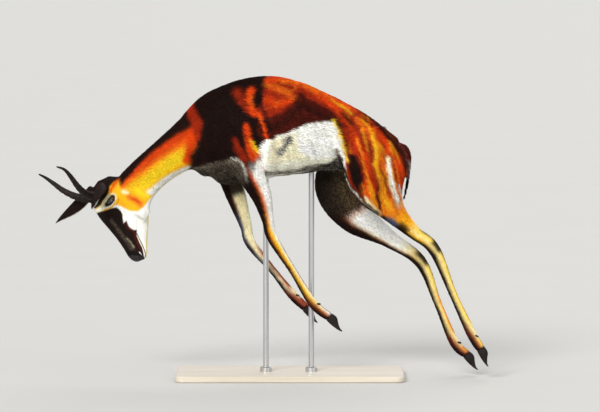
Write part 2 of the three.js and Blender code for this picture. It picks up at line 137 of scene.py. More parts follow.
# The right foreleg is slimmer behind
RIGHT_BEHIND = (34, 70, 35, 27, 20, 17, 12.5, 16, 14)
FORE_RIGHT_GIRTHS: Rows = tuple(
    (row[0], back, *row[2:]) for back, row in zip(RIGHT_BEHIND, FORE_GIRTHS)
)
FORE_LEFT: Rows = (
    (-203, -44, 790),
    (-187, -63, 713),
    (-132, -72, 627),
    (-86, -68, 539),
    (-65, -62, 464),
    (-50, -58, 410),
    (9, -54, 313),
    (67, -50, 218),
    (113, -49, 180),
)
FORE_RIGHT: Rows = (
    (-203, 44, 790),
    (-196, 63, 708),
    (-180, 71, 612),
    (-151, 67, 512),
    (-130, 62, 438),
    (-113, 58, 385),
    (-49, 55, 306),
    (6, 52, 236),
    (45, 51, 199),
)
HIND_GIRTHS: Rows = (
    (60, 52, 30, 0),
    (92, 92, 46, 0),
    (76, 86, 41, 0),
    (38, 43, 29, 0),
    (21, 25, 19, 0),
    (18, 20, 15.5, 0),
    (13, 13, 10.5, 0),
    (14.5, 16.5, 14, 0),
    (13, 14.5, 14, 0),
)
# The right thigh is drawn up, and is fuller in front
RIGHT_AHEAD = (60, 92, 104, 72, 31, 19, 13, 14.5, 13)
HIND_RIGHT_GIRTHS: Rows = tuple((ahead, *row[1:]) for ahead, row in zip(RIGHT_AHEAD, HIND_GIRTHS))
HIND_LEFT: Rows = (
    (222, -44, 722),
    (238, -54, 640),
    (253, -62, 560),
    (293, -62, 491),
    (352, -59, 430),
    (416, -56, 375),
    (471, -53, 248),
    (525, -50, 130),
    (551, -49, 88),
)
HIND_RIGHT: Rows = (
    (216, 44, 718),
    (200, 54, 640),
    (174, 64, 556),
    (203, 64, 476),
    (290, 60, 402),
    (380, 57, 332),
    (430, 54, 214),
    (478, 52, 98),
    (514, 51, 62),
)

# Head sections: reach from the back of the skull, top, bottom, half width, egg
HEAD_ROWS: Rows = (
    (-3, 10, -30, 15, 0),
    (8, 28, -50, 31, 0),
    (28, 43, -70, 40, -0.06),
    (50, 51, -85, 45, -0.16),
    (74, 53, -88, 46, -0.2),
    (100, 50, -96, 42, -0.18),
    (132, 42, -98, 34, -0.14),
    (168, 33, -80, 28, -0.08),
    (204, 27, -57, 24.5, 0),
    (232, 24, -40, 23.5, 0),
    (248, 17, -31, 19.5, 0),
    (257, 5, -23, 11, 0),
)
HORN_ROWS: Rows = (
    (34, 32, 17),
    (24, 58, 23),
    (4, 80, 35),
    (-24, 97, 52),
    (-55, 109, 66),
    (-80, 121, 74),
    (-97, 137, 69),
)
# A horn's length and mean radius in metres, for its grain
HORN_LENGTH = 0.23
HORN_ROUND = 0.01
# A claw from the coronet to the toe: reach, front, back, half width
CLAW_ROWS: Rows = (
    (0, 11.5, -12.5, 6.6),
    (9, 12.5, -14, 7.8),
    (20, 13, -12.5, 8.2),
    (34, 12.5, -2, 7.2),
    (46, 11, 5, 5),
    (55, 8.5, 6.5, 1.6),
)


class Region(IntEnum):
    """Lengths of the body that the skin and the coat are worked out on."""

    TRUNK = 0
    NECK = 1
    HEAD = 2
    TAIL = 3
    FORE_LEFT = 4
    FORE_RIGHT = 5
    HIND_LEFT = 6
    HIND_RIGHT = 7
    EAR = 8


class Side(IntEnum):
    """The animal's own left and right, as the sign of y."""

    LEFT = -1
    RIGHT = 1


def srgb(red: int, green: int, blue: int) -> Colour:
    """A colour of 0 to 255 a channel, as the linear values that Blender takes.

    Args:
        red: Red, 0 to 255.
        green: Green, 0 to 255.
        blue: Blue, 0 to 255.

    Returns:
        The linear colour.
    """
    channels = [c / 255 for c in (red, green, blue)]
    return tuple(c / 12.92 if c <= 0.04045 else ((c + 0.055) / 1.055) ** 2.4 for c in channels)


class Hue(Enum):
    """Colours of the coat, the horn and the bare skin."""

    # Near-black of the painted shade along the top of the neck
    NAPE = srgb(34, 16, 10)
    EMBER = srgb(222, 70, 14)
    FLAME = srgb(238, 112, 24)
    GOLD = srgb(248, 184, 30)
    YELLOW = srgb(255, 216, 40)
    STRAW = srgb(244, 208, 112)
    WHITE = srgb(255, 252, 242)
    CREAM = srgb(248, 236, 192)
    CHOCOLATE = srgb(28, 12, 8)
    MAROON = srgb(78, 20, 10)
    RUSSET = srgb(166, 44, 14)
    TAN = srgb(228, 134, 40)
    # Grey-brown of the painted shade on the inside of the thighs
    BARK = srgb(92, 76, 54)
    ASH = srgb(132, 122, 106)
    # Dark of the painted shade on the brisket, the inside of the thighs, the belly's lower edge and the flank
    # fold
    SOOT = srgb(44, 34, 28)
    SLATE = srgb(74, 86, 112)
    MASK = srgb(30, 18, 14)
    CHESTNUT = srgb(74, 22, 12)
    BLACK = srgb(16, 12, 11)


def along(rows: Array, place: Array) -> Array:
    """Values of a table's columns at places along it, smooth through every row.

    Args:
        rows: Table of shape (rows, columns).
        place: Places, where 0 is the first row and 1 the second.

    Returns:
        Array of shape (places, columns).
    """
    last = len(rows) - 1
    place = np.clip(np.asarray(place, float), 0, last)
    i = np.minimum(place.astype(int), last - 1)
    t = (place - i)[:, None]
    p, q, r, s = (rows[np.clip(i + k, 0, last)] for k in (-1, 0, 1, 2))
    a, b = (r - p) / 2, (s - q) / 2
    return q + t * (a + t * (3 * (r - q) - 2 * a - b + t * (a + b - 2 * (r - q))))


def unit(vectors: Array) -> Array:
    """The vectors at length 1."""
    return vectors / np.maximum(np.linalg.norm(vectors, axis=-1, keepdims=True), 1e-12)


def ease(low: float, high: float, value: Array) -> Array:
    """A smooth rise from 0 at low to 1 at high."""
    t = np.clip((value - low) / (high - low), 0, 1)
    return t * t * (3 - 2 * t)


def fall(low: float, high: float, value: Array) -> Array:
    """A smooth fall from 1 at low to 0 at high."""
    return 1 - ease(low, high, value)


def bell(off: Array, width: float) -> Array:
    """A soft bump, 1 where off is 0 and nothing past two widths."""
    return np.exp(-((off / width) ** 2))


def turns(count: int) -> Array:
    """Equal turns round a circle."""
    return 2 * np.pi * np.arange(count) / count


def columns(*values: Array | float) -> Array:
    """Flat arrays or single numbers as the columns of a table."""
    return np.stack(np.broadcast_arrays(*values), axis=1)


def value_noise(points: Array, seed: int = 0) -> Array:
    """Smooth noise of about -1 to 1 that changes over a distance of 1.

    Args:
        points: Array of shape (n, 3).
        seed: Which noise.

    Returns:
        Array of shape (n,).
    """
    cell = np.floor(points).astype(np.int64)
    f = points - cell
    f = f * f * (3 - 2 * f)
    total = np.zeros(len(points))
    for corner in range(8):
        step = np.array([corner & 1, corner >> 1 & 1, corner >> 2 & 1])
        n = (cell + step) @ np.array([374761393, 668265263, 2147483647]) + seed * 1274126177
        n = (n ^ (n >> 13)) * 1274126177 & 0x7FFFFFFF
        n = (n ^ (n >> 16)) & 0xFFFF
        total += np.prod(np.where(step, f, 1 - f), axis=1) * (n / 32767.5 - 1)
    return total


def fine_noise(points: Array, seed: int = 0, octaves: int = 3) -> Array:
    """Noise with finer noise laid over it."""
    return sum(value_noise(points * 2**k, seed + k) / 2**k for k in range(octaves)) / 1.6


def loft(rings: Array) -> Shell:
    """Points and faces of a closed skin over rings of points, with a hub of triangles at each end.

    Args:
        rings: Array of shape (rings, sides, 3).

    Returns:
        Points of shape (n, 3) and faces as tuples of indices.
    """
    count, sides = rings.shape[:2]
    points = [rings.reshape(-1, 3)]
    faces: list[tuple[int, ...]] = []
    for i in range(count - 1):
        for j in range(sides):
            a, b = i * sides + j, i * sides + (j + 1) % sides
            faces.append((a, b, b + sides, a + sides))
    for first, flip in ((0, True), ((count - 1) * sides, False)):
        hub = count * sides + len(points) - 1
        points.append(points[0][first : first + sides].mean(axis=0)[None])
        for j in range(sides):
            a, b = first + j, first + (j + 1) % sides
            faces.append((hub, b, a) if flip else (hub, a, b))
    return np.concatenate(points), faces


def linked(name: str, data: Mesh | ID) -> Object:
    """A new object of the data, in the scene."""
    item = bpy.data.objects.new(name, data)
    bpy.context.scene.collection.objects.link(item)
    return item


def new_object(name: str, points: Array, faces: Sequence[Sequence[int]]) -> Object:
    """A smooth mesh object at the origin, with its faces turned outwards.

    Args:
        name: Name of the object and its mesh.
        points: Points in metres.
        faces: Faces as indices.

    Returns:
        The object, linked to the scene.
    """
    mesh = bpy.data.meshes.new(name)
    mesh.from_pydata(np.asarray(points, float).tolist(), [], [tuple(map(int, f)) for f in faces])
    work = bmesh.new()
    work.from_mesh(mesh)
    bmesh.ops.recalc_face_normals(work, faces=work.faces[:])
    work.to_mesh(mesh)
    work.free()
    mesh.polygons.foreach_set("use_smooth", [True] * len(mesh.polygons))
    return linked(name, mesh)


def joined(name: str, parts: Sequence[Shell]) -> Object:
    """One object of several shells, each left a closed surface of its own.

    Args:
        name: Name of the object and its mesh.
        parts: The shells.

    Returns:
        The object, linked to the scene.
    """
    points, faces, start = [], [], 0
    for part_points, part_faces in parts:
        points.append(part_points)
        faces += [tuple(start + k for k in face) for face in part_faces]
        start += len(part_points)
    return new_object(name, np.concatenate(points), faces)


def as_modified(item: Object, name: str) -> Object:
    """A plain mesh of what an object's modifiers make of it, in the place of the object.

    Args:
        item: The object, which is removed.
        name: Name of the new object and its mesh.

    Returns:
        The new object.
    """
    graph = bpy.context.evaluated_depsgraph_get()
    mesh = bpy.data.meshes.new_from_object(item.evaluated_get(graph))
    bpy.data.objects.remove(item)
    mesh.name = name
    return linked(name, mesh)


def read(items: Any, name: str, width: int = 1, kind: type = np.int32) -> Array:
    """One property of all of a mesh's elements.

    Args:
        items: The elements, such as the mesh's edges.
        name: The property.
        width: How many numbers each element has.
        kind: Kind of number.

    Returns:
        A row for each element, or a flat array where the width is 1.
    """
    flat = np.empty(len(items) * width, kind)
    items.foreach_get(name, flat)
    return flat.reshape(-1, width) if width > 1 else flat


def store(mesh: Mesh, **attributes: Array) -> None:
    """Stores attributes on a mesh: whole numbers on its faces, others on its points or face corners.

    Args:
        mesh: The mesh.
        attributes: One value, or row of three or four, for each element.
    """
    kinds = {1: ("FLOAT", "value"), 3: ("FLOAT_VECTOR", "vector"), 4: ("FLOAT_COLOR", "color")}
    for name, values in attributes.items():
        kind, key = kinds[values.shape[1] if values.ndim > 1 else 1]
        domain = "CORNER" if len(values) == len(mesh.loops) else "POINT"
        if values.dtype.kind == "i":
            kind, domain = "INT", "FACE"
        layer = mesh.attributes.new(name, kind, domain)
        layer.data.foreach_set(key, np.ascontiguousarray(values).ravel())


def opaque(colours: Array) -> Array:
    """Colours with a fourth column of ones."""
    return np.concatenate([colours, np.ones((len(colours), 1))], axis=1)


@dataclass(frozen=True)
class Chain:
    """A length of the body as sections along a line, which is also a way to measure places on it."""

    region: Region
    rows: Rows
    coat: tuple[float, float] = (COAT_DEPTH, COAT_DEPTH)
    round_ends: bool = False

    @property
    def table(self) -> Array:
        """The rows in metres, with the egg left as it is."""
        return np.array(self.rows, float) * np.array([MM] * 6 + [1])

    @property
    def last(self) -> int:
        """The last place."""
        return len(self.rows) - 1

    def frames(self, place: Array) -> tuple[Array, ...]:
        """The line at places along the chain.

        Args:
            place: Places from 0 to last.

        Returns:
            Sections, direction along, direction across and direction up.
        """
        place = np.clip(place, 0, self.last)
        sections = along(self.table, place)
        ahead = along(self.table, np.clip(place + 0.02, 0, self.last))[:, :3]
        t = unit(ahead - along(self.table, np.clip(place - 0.02, 0, self.last))[:, :3])
        across = np.array([0.0, 1.0, 0.0]) - t * t[:, 1:2]
        across = unit(across)
        return sections, t, across, np.cross(across, t)

    def body(self, sides: int = 44, step: float = 0.12) -> Shell:
        """The chain as a closed skin, sunk by the depth of the coat.

        Args:
            sides: Points round each ring.
            step: Places from ring to ring.

        Returns:
            Points and faces.
        """
        caps = [0.35, 0.7, 0.92] if self.round_ends else []
        count = max(2, math.ceil(self.last / step))
        places = [self.last * i / count for i in range(count + 1)]
        places = [0.0] * len(caps) + places + [self.last] * len(caps)
        scale = np.array(caps + [1.0] * (count + 1) + caps[::-1])
        place = np.array(places, float)
        s, t, across, up = self.frames(place)
        shift = 0.5 * s[:, 3:6].min(axis=1) * np.sqrt(np.maximum(0, 1 - scale**2))
        shift[: len(caps)] *= -1
        centre = s[:, :3] + t * shift[:, None]
        grow = -np.interp(place, [0, self.last], self.coat)
        turn = turns(sides)
        c, sine = np.cos(turn), np.sin(turn)
        depth = (np.where(c > 0, s[:, 3:4], s[:, 4:5]) + grow[:, None]) * scale[:, None]
        width = (s[:, 5:6] + grow[:, None]) * scale[:, None] * (1 - s[:, 6:7] * c)
        rise, side = up[:, None] * (depth * c)[..., None], across[:, None] * (width * sine)[..., None]
        return loft(centre[:, None] + rise + side)

    def measure(self, points: Array) -> tuple[Array, Array, Array]:
        """Where points lie along and round the chain.

        Args:
            points: Array of shape (n, 3).

        Returns:
            Place along, turn round from the up side, and distance as a share of the section.
        """
        places = np.arange(0, self.last + 1e-6, PLACE_STEP)
        s, t, across, up = self.frames(places)
        size = s[:, 3:6].mean(axis=1)
        nearest = np.empty(len(points), int)
        line, area = s[None, :, :3].astype(np.float32), (size**2).astype(np.float32)
        for start in range(0, len(points), BATCH):
            part = points[start : start + BATCH, None].astype(np.float32)
            nearest[start : start + BATCH] = (((part - line) ** 2).sum(axis=2) / area).argmin(axis=1)
        off = points - s[nearest, :3]
        place = places[nearest]
        spacing = np.linalg.norm(np.gradient(s[:, :3], axis=0), axis=1)[nearest] / PLACE_STEP
        place = np.clip(place + (off * t[nearest]).sum(axis=1) / np.maximum(spacing, 1e-6), 0, self.last)
        s, t, across, up = self.frames(place)
        off = points - s[:, :3]
        over, beside = (off * up).sum(axis=1), (off * across).sum(axis=1)
        depth = np.where(over > 0, s[:, 3], s[:, 4])
        beyond = (off * t).sum(axis=1)
        ratio = np.sqrt((over / depth) ** 2 + (beside / s[:, 5]) ** 2 + (beyond / s[:, 5]) ** 2)
        return place, np.arctan2(beside / s[:, 5], over / depth), ratio

    def arc(self, place: Array) -> Array:
        """Length along the line up to places, in metres.

        Args:
            place: Places from 0 to last.

        Returns:
            The length up to each.
        """
        places = np.arange(0, self.last + 1e-6, 0.05)
        line = along(self.table, places)[:, :3]
        run = np.concatenate([[0], np.cumsum(np.linalg.norm(np.diff(line, axis=0), axis=1))])
        return np.interp(place, places, run)


@dataclass(frozen=True)
class Head:
    """The head's own directions and sections."""

    back: Point = (-548, 0, 570)
    tilt: float = 25.5
    roll: float = 28.0
    eye: Point = (60, 18, 34)
    eye_radius: float = 15.5
    region: Region = Region.HEAD

    @property
    def axes(self) -> Array:
        """Rows: along the face, up through the crown, and out to the animal's right.

        Returns:
            The three directions.
        """
        tilt, roll = math.radians(self.tilt), math.radians(self.roll)
        face = np.array([math.sin(tilt), 0, -math.cos(tilt)])
        plumb = np.array([-math.cos(tilt), 0, -math.sin(tilt)])
        y = np.array([0.0, 1.0, 0.0])
        crown = plumb * math.cos(roll) - np.cross(face, plumb) * math.sin(roll)
        right = y * math.cos(roll) - np.cross(face, y) * math.sin(roll)
        return np.array([face, crown, right])

    def at(self, reach: float, height: float, out: float) -> Array:
        """A place on the head, from millimetres along, up and out."""
        return (np.array(self.back) + np.array([reach, height, out]) @ self.axes) * MM

    def local(self, points: Array) -> Array:
        """Points as millimetres along, up and out."""
        return (points / MM - np.array(self.back)) @ self.axes.T

    def world(self, local: Array) -> Array:
        """Places in millimetres along, up and out, as points in metres."""
        return (np.array(self.back) + local @ self.axes) * MM

    def mouth(self, reach: Array) -> Array:
        """Height of the line between the lips."""
        return np.interp(reach, [168, 182, 215, 240, 252], [-17, -20.5, -22, -21.5, -19])

    def within(self, local: Array, low: float, high: float, height: float, out: float) -> Array:
        """Which places on the head are in a box.

        Args:
            local: Places as millimetres along, up and out.
            low: Least reach.
            high: Greatest reach.
            height: Greatest distance up or down.
            out: Greatest distance out.

        Returns:
            Whether each place is in it.
        """
        reach, up, side = local.T
        return (reach > low) & (reach < high) & (np.abs(up) < height) & (np.abs(side) < out)

    def body(self, sides: int = 56, steps: int = 90) -> Shell:
        """The skull and muzzle as a closed skin, sunk by the thin coat of the face.

        Args:
            sides: Points round each ring.
            steps: Rings.

        Returns:
            Points and faces.
        """
        rows = along(np.array(HEAD_ROWS, float), np.linspace(0, len(HEAD_ROWS) - 1, steps))
        reach, top, bottom, side, egg = rows.T[:, :, None]
        turn = turns(sides)
        c = np.cos(turn)[None]
        height = (top + bottom) / 2 + ((top - bottom) / 2 - 1) * c
        out = (side - 1) * (1 - egg * c) * np.sin(turn)[None]
        local = np.stack([reach + 0 * c, height, out], axis=2)
        return loft(self.world(local))

    def lump(self, centre: Point, size: Point) -> Shell:
        """An ellipsoid on the head, such as a cheek.

        Args:
            centre: Its centre, in millimetres along, up and out.
            size: Its half lengths.

        Returns:
            Points and faces.
        """
        stack, sides = 18, 28
        polar = np.pi * (np.arange(stack) + 0.5) / stack
        turn = turns(sides)
        local = np.stack(
            [
                centre[0] + size[0] * np.cos(polar)[:, None] + 0 * turn[None],
                centre[1] + size[1] * np.sin(polar)[:, None] * np.cos(turn)[None],
                centre[2] + size[2] * np.sin(polar)[:, None] * np.sin(turn)[None],
            ],
            axis=2,
        )
        return loft(self.world(local))

    def measure(self, points: Array) -> tuple[Array, Array, Array]:
        """Where points lie on the head, as Chain.measure gives it, with the reach for a place.

        Args:
            points: Array of shape (n, 3).

        Returns:
            Reach, turn round from the crown, and distance as a share of the section.
        """
        local = self.local(points)
        table = np.array(HEAD_ROWS, float)
        order = np.interp(local[:, 0], table[:, 0], np.arange(len(table)))
        rows = along(table, order)
        middle, half = (rows[:, 1] + rows[:, 2]) / 2, (rows[:, 1] - rows[:, 2]) / 2
        over, beside = (local[:, 1] - middle) / half, local[:, 2] / rows[:, 3]
        beyond = (local[:, 0] - np.clip(local[:, 0], table[0, 0], table[-1, 0])) / 15
        return local[:, 0], np.arctan2(beside, over), np.sqrt(over**2 + beside**2 + beyond**2)


def legged(region: Region, joints: Rows, girths: Rows) -> Chain:
    """A leg's chain, from its joints and the girths there."""
    rows = tuple(tuple(j) + tuple(g) for j, g in zip(joints, girths))
    return Chain(region, rows, coat=(COAT_DEPTH, LEG_COAT_DEPTH))


TRUNK = Chain(Region.TRUNK, TRUNK_ROWS, round_ends=True)
NECK = Chain(Region.NECK, NECK_ROWS)
TAIL = Chain(Region.TAIL, TAIL_ROWS, coat=(LEG_COAT_DEPTH, LEG_COAT_DEPTH), round_ends=True)
LEGS = (
    legged(Region.FORE_LEFT, FORE_LEFT, FORE_GIRTHS),
    legged(Region.FORE_RIGHT, FORE_RIGHT, FORE_RIGHT_GIRTHS),
    legged(Region.HIND_LEFT, HIND_LEFT, HIND_GIRTHS),
    legged(Region.HIND_RIGHT, HIND_RIGHT, HIND_RIGHT_GIRTHS),
)
HEAD = Head()


# Lines and patches on the side view


def side_view(points: Array) -> Array:
    """Points as right and down on the side view, in its units."""
    return np.stack(
        [points[:, 0] / VIEW_UNIT + VIEW_ORIGIN[0], VIEW_ORIGIN[1] - points[:, 2] / VIEW_UNIT], axis=1
    )


def line_distance(flat: Array, line: Line) -> tuple[Array, Array]:
    """How far flat points are from a line of points, and how far along it.

    Args:
        flat: Array of shape (n, 2).
        line: The line's points.

    Returns:
        Distance, and share of the line's length from 0 to 1.
    """
    corners = np.array(line, float)
    lengths = np.linalg.norm(np.diff(corners, axis=0), axis=1)
    runs = np.concatenate([[0], np.cumsum(lengths)])
    best, share = np.full(len(flat), 1e9), np.zeros(len(flat))
    for a, b, length, run in zip(corners, corners[1:], lengths, runs):
        t = np.clip(((flat - a) @ (b - a)) / length**2, 0, 1)
        far = np.linalg.norm(flat - a - t[:, None] * (b - a), axis=1)
        nearer = far < best
        best = np.where(nearer, far, best)
        share = np.where(nearer, (run + t * length) / runs[-1], share)
    return best, share


def inside(flat: Array, outline: Line) -> Array:
    """Whether flat points are inside a closed outline.

    Args:
        flat: Array of shape (n, 2).
        outline: The outline's points.

    Returns:
        Whether each point is inside.
    """
    result = np.zeros(len(flat), bool)
    corners = np.array(outline, float)
    for a, b in zip(corners, np.roll(corners, -1, axis=0)):
        crosses = (a[1] > flat[:, 1]) != (b[1] > flat[:, 1])
        at = a[0] + (flat[:, 1] - a[1]) * (b[0] - a[0]) / (b[1] - a[1] + 1e-9)
        result ^= crosses & (flat[:, 0] < at)
    return result


FORE = (Region.FORE_LEFT, Region.FORE_RIGHT)
HIND = (Region.HIND_LEFT, Region.HIND_RIGHT)


@dataclass(frozen=True)
class Stroke:
    """A streak of colour along a line on the side view, wider or narrower from end to end."""

    hue: Hue
    line: Line
    width: tuple[float, float]
    soft: float = 0.7
    strength: float = 1.0
    speckle: float = 0.0

    def weight(self, flat: Array) -> Array:
        """How much of the colour each flat point takes.

        Args:
            flat: Array of shape (n, 2).

        Returns:
            A weight of 0 to 1 for each point.
        """
        far, share = line_distance(flat, self.line)
        width = self.width[0] + (self.width[1] - self.width[0]) * share
        return self.strength * fall(1 - self.soft, 1, far / width)


@dataclass(frozen=True)
class Patch:
    """A filled patch of colour on the side view, with an edge that is soft or ragged."""

    hue: Hue
    outline: Line
    soft: float = 2.0
    strength: float = 1.0
    speckle: float = 0.0

    def weight(self, flat: Array) -> Array:
        """How much of the colour each flat point takes.

        Args:
            flat: Array of shape (n, 2).

        Returns:
            A weight of 0 to 1 for each point.
        """
        far, _ = line_distance(flat, self.outline + self.outline[:1])
        signed = np.where(inside(flat, self.outline), far, -far)
        return self.strength * ease(-self.soft / 2, self.soft / 2, signed)


# Bright hues, which are broken up along the lie of the coat
BRIGHT = (Hue.FLAME, Hue.GOLD, Hue.YELLOW)

# The trunk's and thigh's pattern, laid on in order, with painted shade and painted highlights among its marks
BODY_PATTERN: tuple[Stroke | Patch, ...] = (
    # Painted shade: the dark chocolate patch from the base of the neck over the shoulder to the foreleg
    # stands for shade on the brown coat
    Patch(Hue.CHOCOLATE, ((186, 98), (196, 60), (268, 60), (266, 84), (261, 92), (257, 112), (262, 128),
        (266, 142), (258, 150), (250, 186), (180, 196), (188, 167), (189, 156), (196, 144), (200, 131),
        (201, 120), (192, 106)), 5),
    Patch(Hue.MAROON, ((256, 122), (264, 117), (280, 111), (288, 105), (297, 91), (305, 96), (316, 102),
        (328, 108), (336, 117), (342, 127), (330, 128), (300, 130), (282, 138), (266, 146), (256, 134)), 4),
    Stroke(Hue.CHOCOLATE, ((268, 128), (284, 120), (300, 104), (316, 112), (332, 120)), (6, 4), 0.9, 0.55),
    # Painted highlights: the next nine streaks over the shoulder blade are the lit parts of the shaded
    # shoulder
    Stroke(Hue.RUSSET, ((236, 92), (242, 102), (250, 112)), (8, 5), 0.9, 0.8),
    Stroke(Hue.EMBER, ((249, 90), (247, 98), (250, 108), (253, 113)), (6, 4), 0.8),
    Stroke(Hue.FLAME, ((250, 94), (249, 101), (252, 108)), (2.4, 1.8), 0.9, 0.8),
    Stroke(Hue.EMBER, ((254, 108), (258, 115), (261, 122), (264, 131), (266, 139)), (2.2, 2.4), 0.6),
    Stroke(Hue.FLAME, ((256, 111), (259, 117), (262, 125)), (1.1, 1.0), 0.7, 0.9),
    Stroke(Hue.EMBER, ((245, 124), (247, 136), (250, 146), (253, 154)), (3.6, 7), 0.8),
    Stroke(Hue.RUSSET, ((234, 138), (237, 146), (244, 156)), (5, 7), 0.9, 0.85),
    Stroke(Hue.FLAME, ((249, 138), (253, 146), (257, 153)), (2.6, 4), 0.8),
    Stroke(Hue.YELLOW, ((251, 139), (254, 145), (257, 150)), (1.6, 2.4), 0.7),
    Stroke(Hue.CHOCOLATE, ((253, 124), (256, 133), (260, 142)), (3.4, 3.2), 0.7, 0.95),
    Stroke(Hue.CHOCOLATE, ((262, 84), (259, 98), (263, 112), (268, 128)), (3, 3), 0.8, 0.9),
    Stroke(Hue.FLAME, ((266, 84), (278, 88), (292, 96)), (6, 5), 0.9, 0.85),
    Stroke(Hue.EMBER, ((266, 98), (276, 104), (288, 100)), (6, 4), 0.9),
    Stroke(Hue.FLAME, ((266, 108), (276, 102), (288, 92), (294, 86)), (1.4, 2.2), 0.9, 0.8),
    Stroke(Hue.RUSSET, ((270, 94), (280, 98), (286, 94)), (2.2, 1.6), 0.9, 0.8),
    Stroke(Hue.EMBER, ((266, 80), (284, 78), (304, 86), (330, 99), (350, 108)), (5, 5), 0.9),
    Stroke(Hue.FLAME, ((280, 80), (300, 83), (326, 96), (346, 107)), (4, 4), 0.9),
    # Painted highlights: a thin yellow line along the top of the back and a gold one along the top of the
    # rump
    Stroke(Hue.YELLOW, ((290, 77), (304, 82), (318, 89)), (1.8, 1.4), 0.8, 0.9),
    Stroke(Hue.GOLD, ((328, 99), (340, 105), (350, 113)), (1.8, 2.0), 0.8, 0.9),
    Stroke(Hue.EMBER, ((318, 94), (334, 106), (346, 120), (354, 132)), (5, 5), 0.9),
    Stroke(Hue.MAROON, ((340, 112), (348, 121), (358, 132)), (2.6, 3.4), 0.8, 0.95),
    Patch(Hue.RUSSET, ((342, 130), (352, 124), (366, 136), (372, 150), (372, 196), (362, 196), (358, 160)), 6,
        0.8),
    Patch(Hue.CHOCOLATE, ((346, 150), (354, 152), (360, 164), (362, 178), (364, 197), (352, 182), (347, 166)),
        4),
    Stroke(Hue.MAROON, ((359, 107), (374, 120), (390, 135), (401, 149), (406, 166), (407, 186)), (5, 5), 0.8,
        0.95),
    Stroke(Hue.CHOCOLATE, ((376, 124), (390, 139), (399, 151)), (2, 3), 0.8, 0.8),
    Stroke(Hue.EMBER, ((350, 134), (360, 146), (367, 162), (368, 192)), (4, 6), 0.8),
    Stroke(Hue.FLAME, ((356, 118), (368, 132), (380, 150), (386, 168)), (5, 7), 0.9),
    Stroke(Hue.EMBER, ((368, 122), (382, 138), (394, 156), (402, 172), (402, 190)), (4, 5), 0.8),
    Stroke(Hue.GOLD, ((360, 118), (370, 130), (374, 144), (375, 158)), (1.6, 3.4), 0.8, 0.9),
    Stroke(Hue.YELLOW, ((370, 134), (374, 144), (375, 154)), (1.2, 1.6), 0.7, 0.9),
    Stroke(Hue.MAROON, ((366, 140), (369, 152), (372, 164)), (1.0, 1.4), 0.8, 0.7),
    Stroke(Hue.CHOCOLATE, ((378, 146), (383, 156), (386, 164)), (1.2, 1.6), 0.8, 0.7),
    Stroke(Hue.GOLD, ((374, 160), (380, 178), (384, 196), (392, 214)), (4, 7), 0.9),
    Stroke(Hue.FLAME, ((392, 158), (397, 176), (400, 196)), (2.4, 3), 0.9, 0.9),
    Stroke(Hue.CREAM, ((386, 156), (388, 168), (391, 184), (396, 200), (402, 210)), (3.2, 4.6), 0.6),
    Stroke(Hue.WHITE, ((387, 160), (389, 170), (392, 184), (396, 198)), (2.0, 2.8), 0.6),
    Stroke(Hue.WHITE, ((398, 182), (402, 196), (406, 211)), (1.4, 2.6), 0.7, 0.9),
    Stroke(Hue.GOLD, ((400, 198), (406, 212), (414, 222)), (3, 4), 0.9, 0.8),
    Stroke(Hue.FLAME, ((362, 184), (368, 200), (376, 212)), (5, 5), 0.9, 0.9),
    Stroke(Hue.CREAM, ((364, 194), (370, 202), (377, 211)), (2.4, 3.0), 0.7, 0.95),
    Stroke(Hue.CHOCOLATE, ((376, 176), (377, 192), (379, 208)), (1.0, 2.6), 0.7, 0.95),
    Patch(Hue.WHITE, ((258, 149), (259, 143), (264, 137.5), (270, 137), (279, 133.5), (292, 128.5),
        (301, 123.5), (314, 120.5), (328, 119.5), (334, 122.5), (337, 133), (340, 143), (345, 163),
        (343, 178), (330, 188), (300, 188), (272, 188), (266, 168), (259, 160)), 1.6),
    Patch(Hue.CREAM, ((270, 139), (294, 131), (297, 150), (310, 158), (334, 156), (334, 172), (296, 178),
        (272, 180), (266, 160)), 6, 0.7),
    # Painted shade: grey and blue-grey marks between the ribs on the white flank
    Stroke(Hue.ASH, ((272, 144), (276, 154), (274, 168)), (3, 4), 0.95, 0.45),
    Stroke(Hue.SLATE, ((287, 137), (284, 144), (278, 151)), (5.4, 4.2), 0.9, 1.0, 0.5),
    Stroke(Hue.SLATE, ((312, 149), (312, 152)), (1.2, 1.2), 0.8, 0.7),
    Stroke(Hue.YELLOW, ((331, 119), (337, 129), (341, 142), (346, 159)), (1.5, 1.7), 0.6),
    Stroke(Hue.MAROON, ((335, 120), (341, 131), (345, 146), (349, 160)), (1.3, 2.0), 0.7, 0.9),
    # Painted shade: a dark stroke in the crease of the flank fold
    Stroke(Hue.SOOT, ((335, 148), (341, 164), (349, 184), (361, 198), (376, 212)), (2.8, 3.0), 0.5),
    Stroke(Hue.ASH, ((335, 149), (341, 165), (349, 185), (361, 198), (374, 210)), (1.3, 1.5), 0.5),
    Stroke(Hue.WHITE, ((343, 168), (350, 185), (361, 197)), (0.6, 0.8), 0.5, 0.8),
    # Painted shade: the white brisket between the forelegs, painted as grey with a darker, flecked patch over
    # it
    Patch(Hue.ASH, ((186, 168), (192, 167), (200, 165), (210, 162), (223, 157.5), (232, 155), (238, 156),
        (243, 162), (247, 168), (250, 180), (240, 196), (214, 196), (190, 184)), 2.4, 1.0, 0.3),
    Patch(Hue.SOOT, ((186, 166), (196, 168), (214, 163), (232, 159), (240, 166), (244, 180), (226, 190),
        (190, 186)), 5, 0.9, 0.75),
    Stroke(Hue.WHITE, ((230, 155), (238, 156.5), (244, 165), (247, 178)), (1.0, 1.3), 0.7, 0.85),
)

# Painted shade along the lower edge of the belly and in the groin, laid on after the white underside
BELLY_SHADE: tuple[Stroke | Patch, ...] = (
    Stroke(Hue.SOOT, ((266, 172), (284, 171.5), (300, 169), (316, 164)), (3.6, 4.6), 0.95, 0.9, 0.8),
    Patch(Hue.SOOT, ((266, 190), (270, 175.5), (286, 174), (300, 172), (306, 169), (316, 165), (326, 162),
        (334, 157), (338, 153), (342, 158), (347, 174), (340, 190)), 2.4, 1.0, 0.3),
)
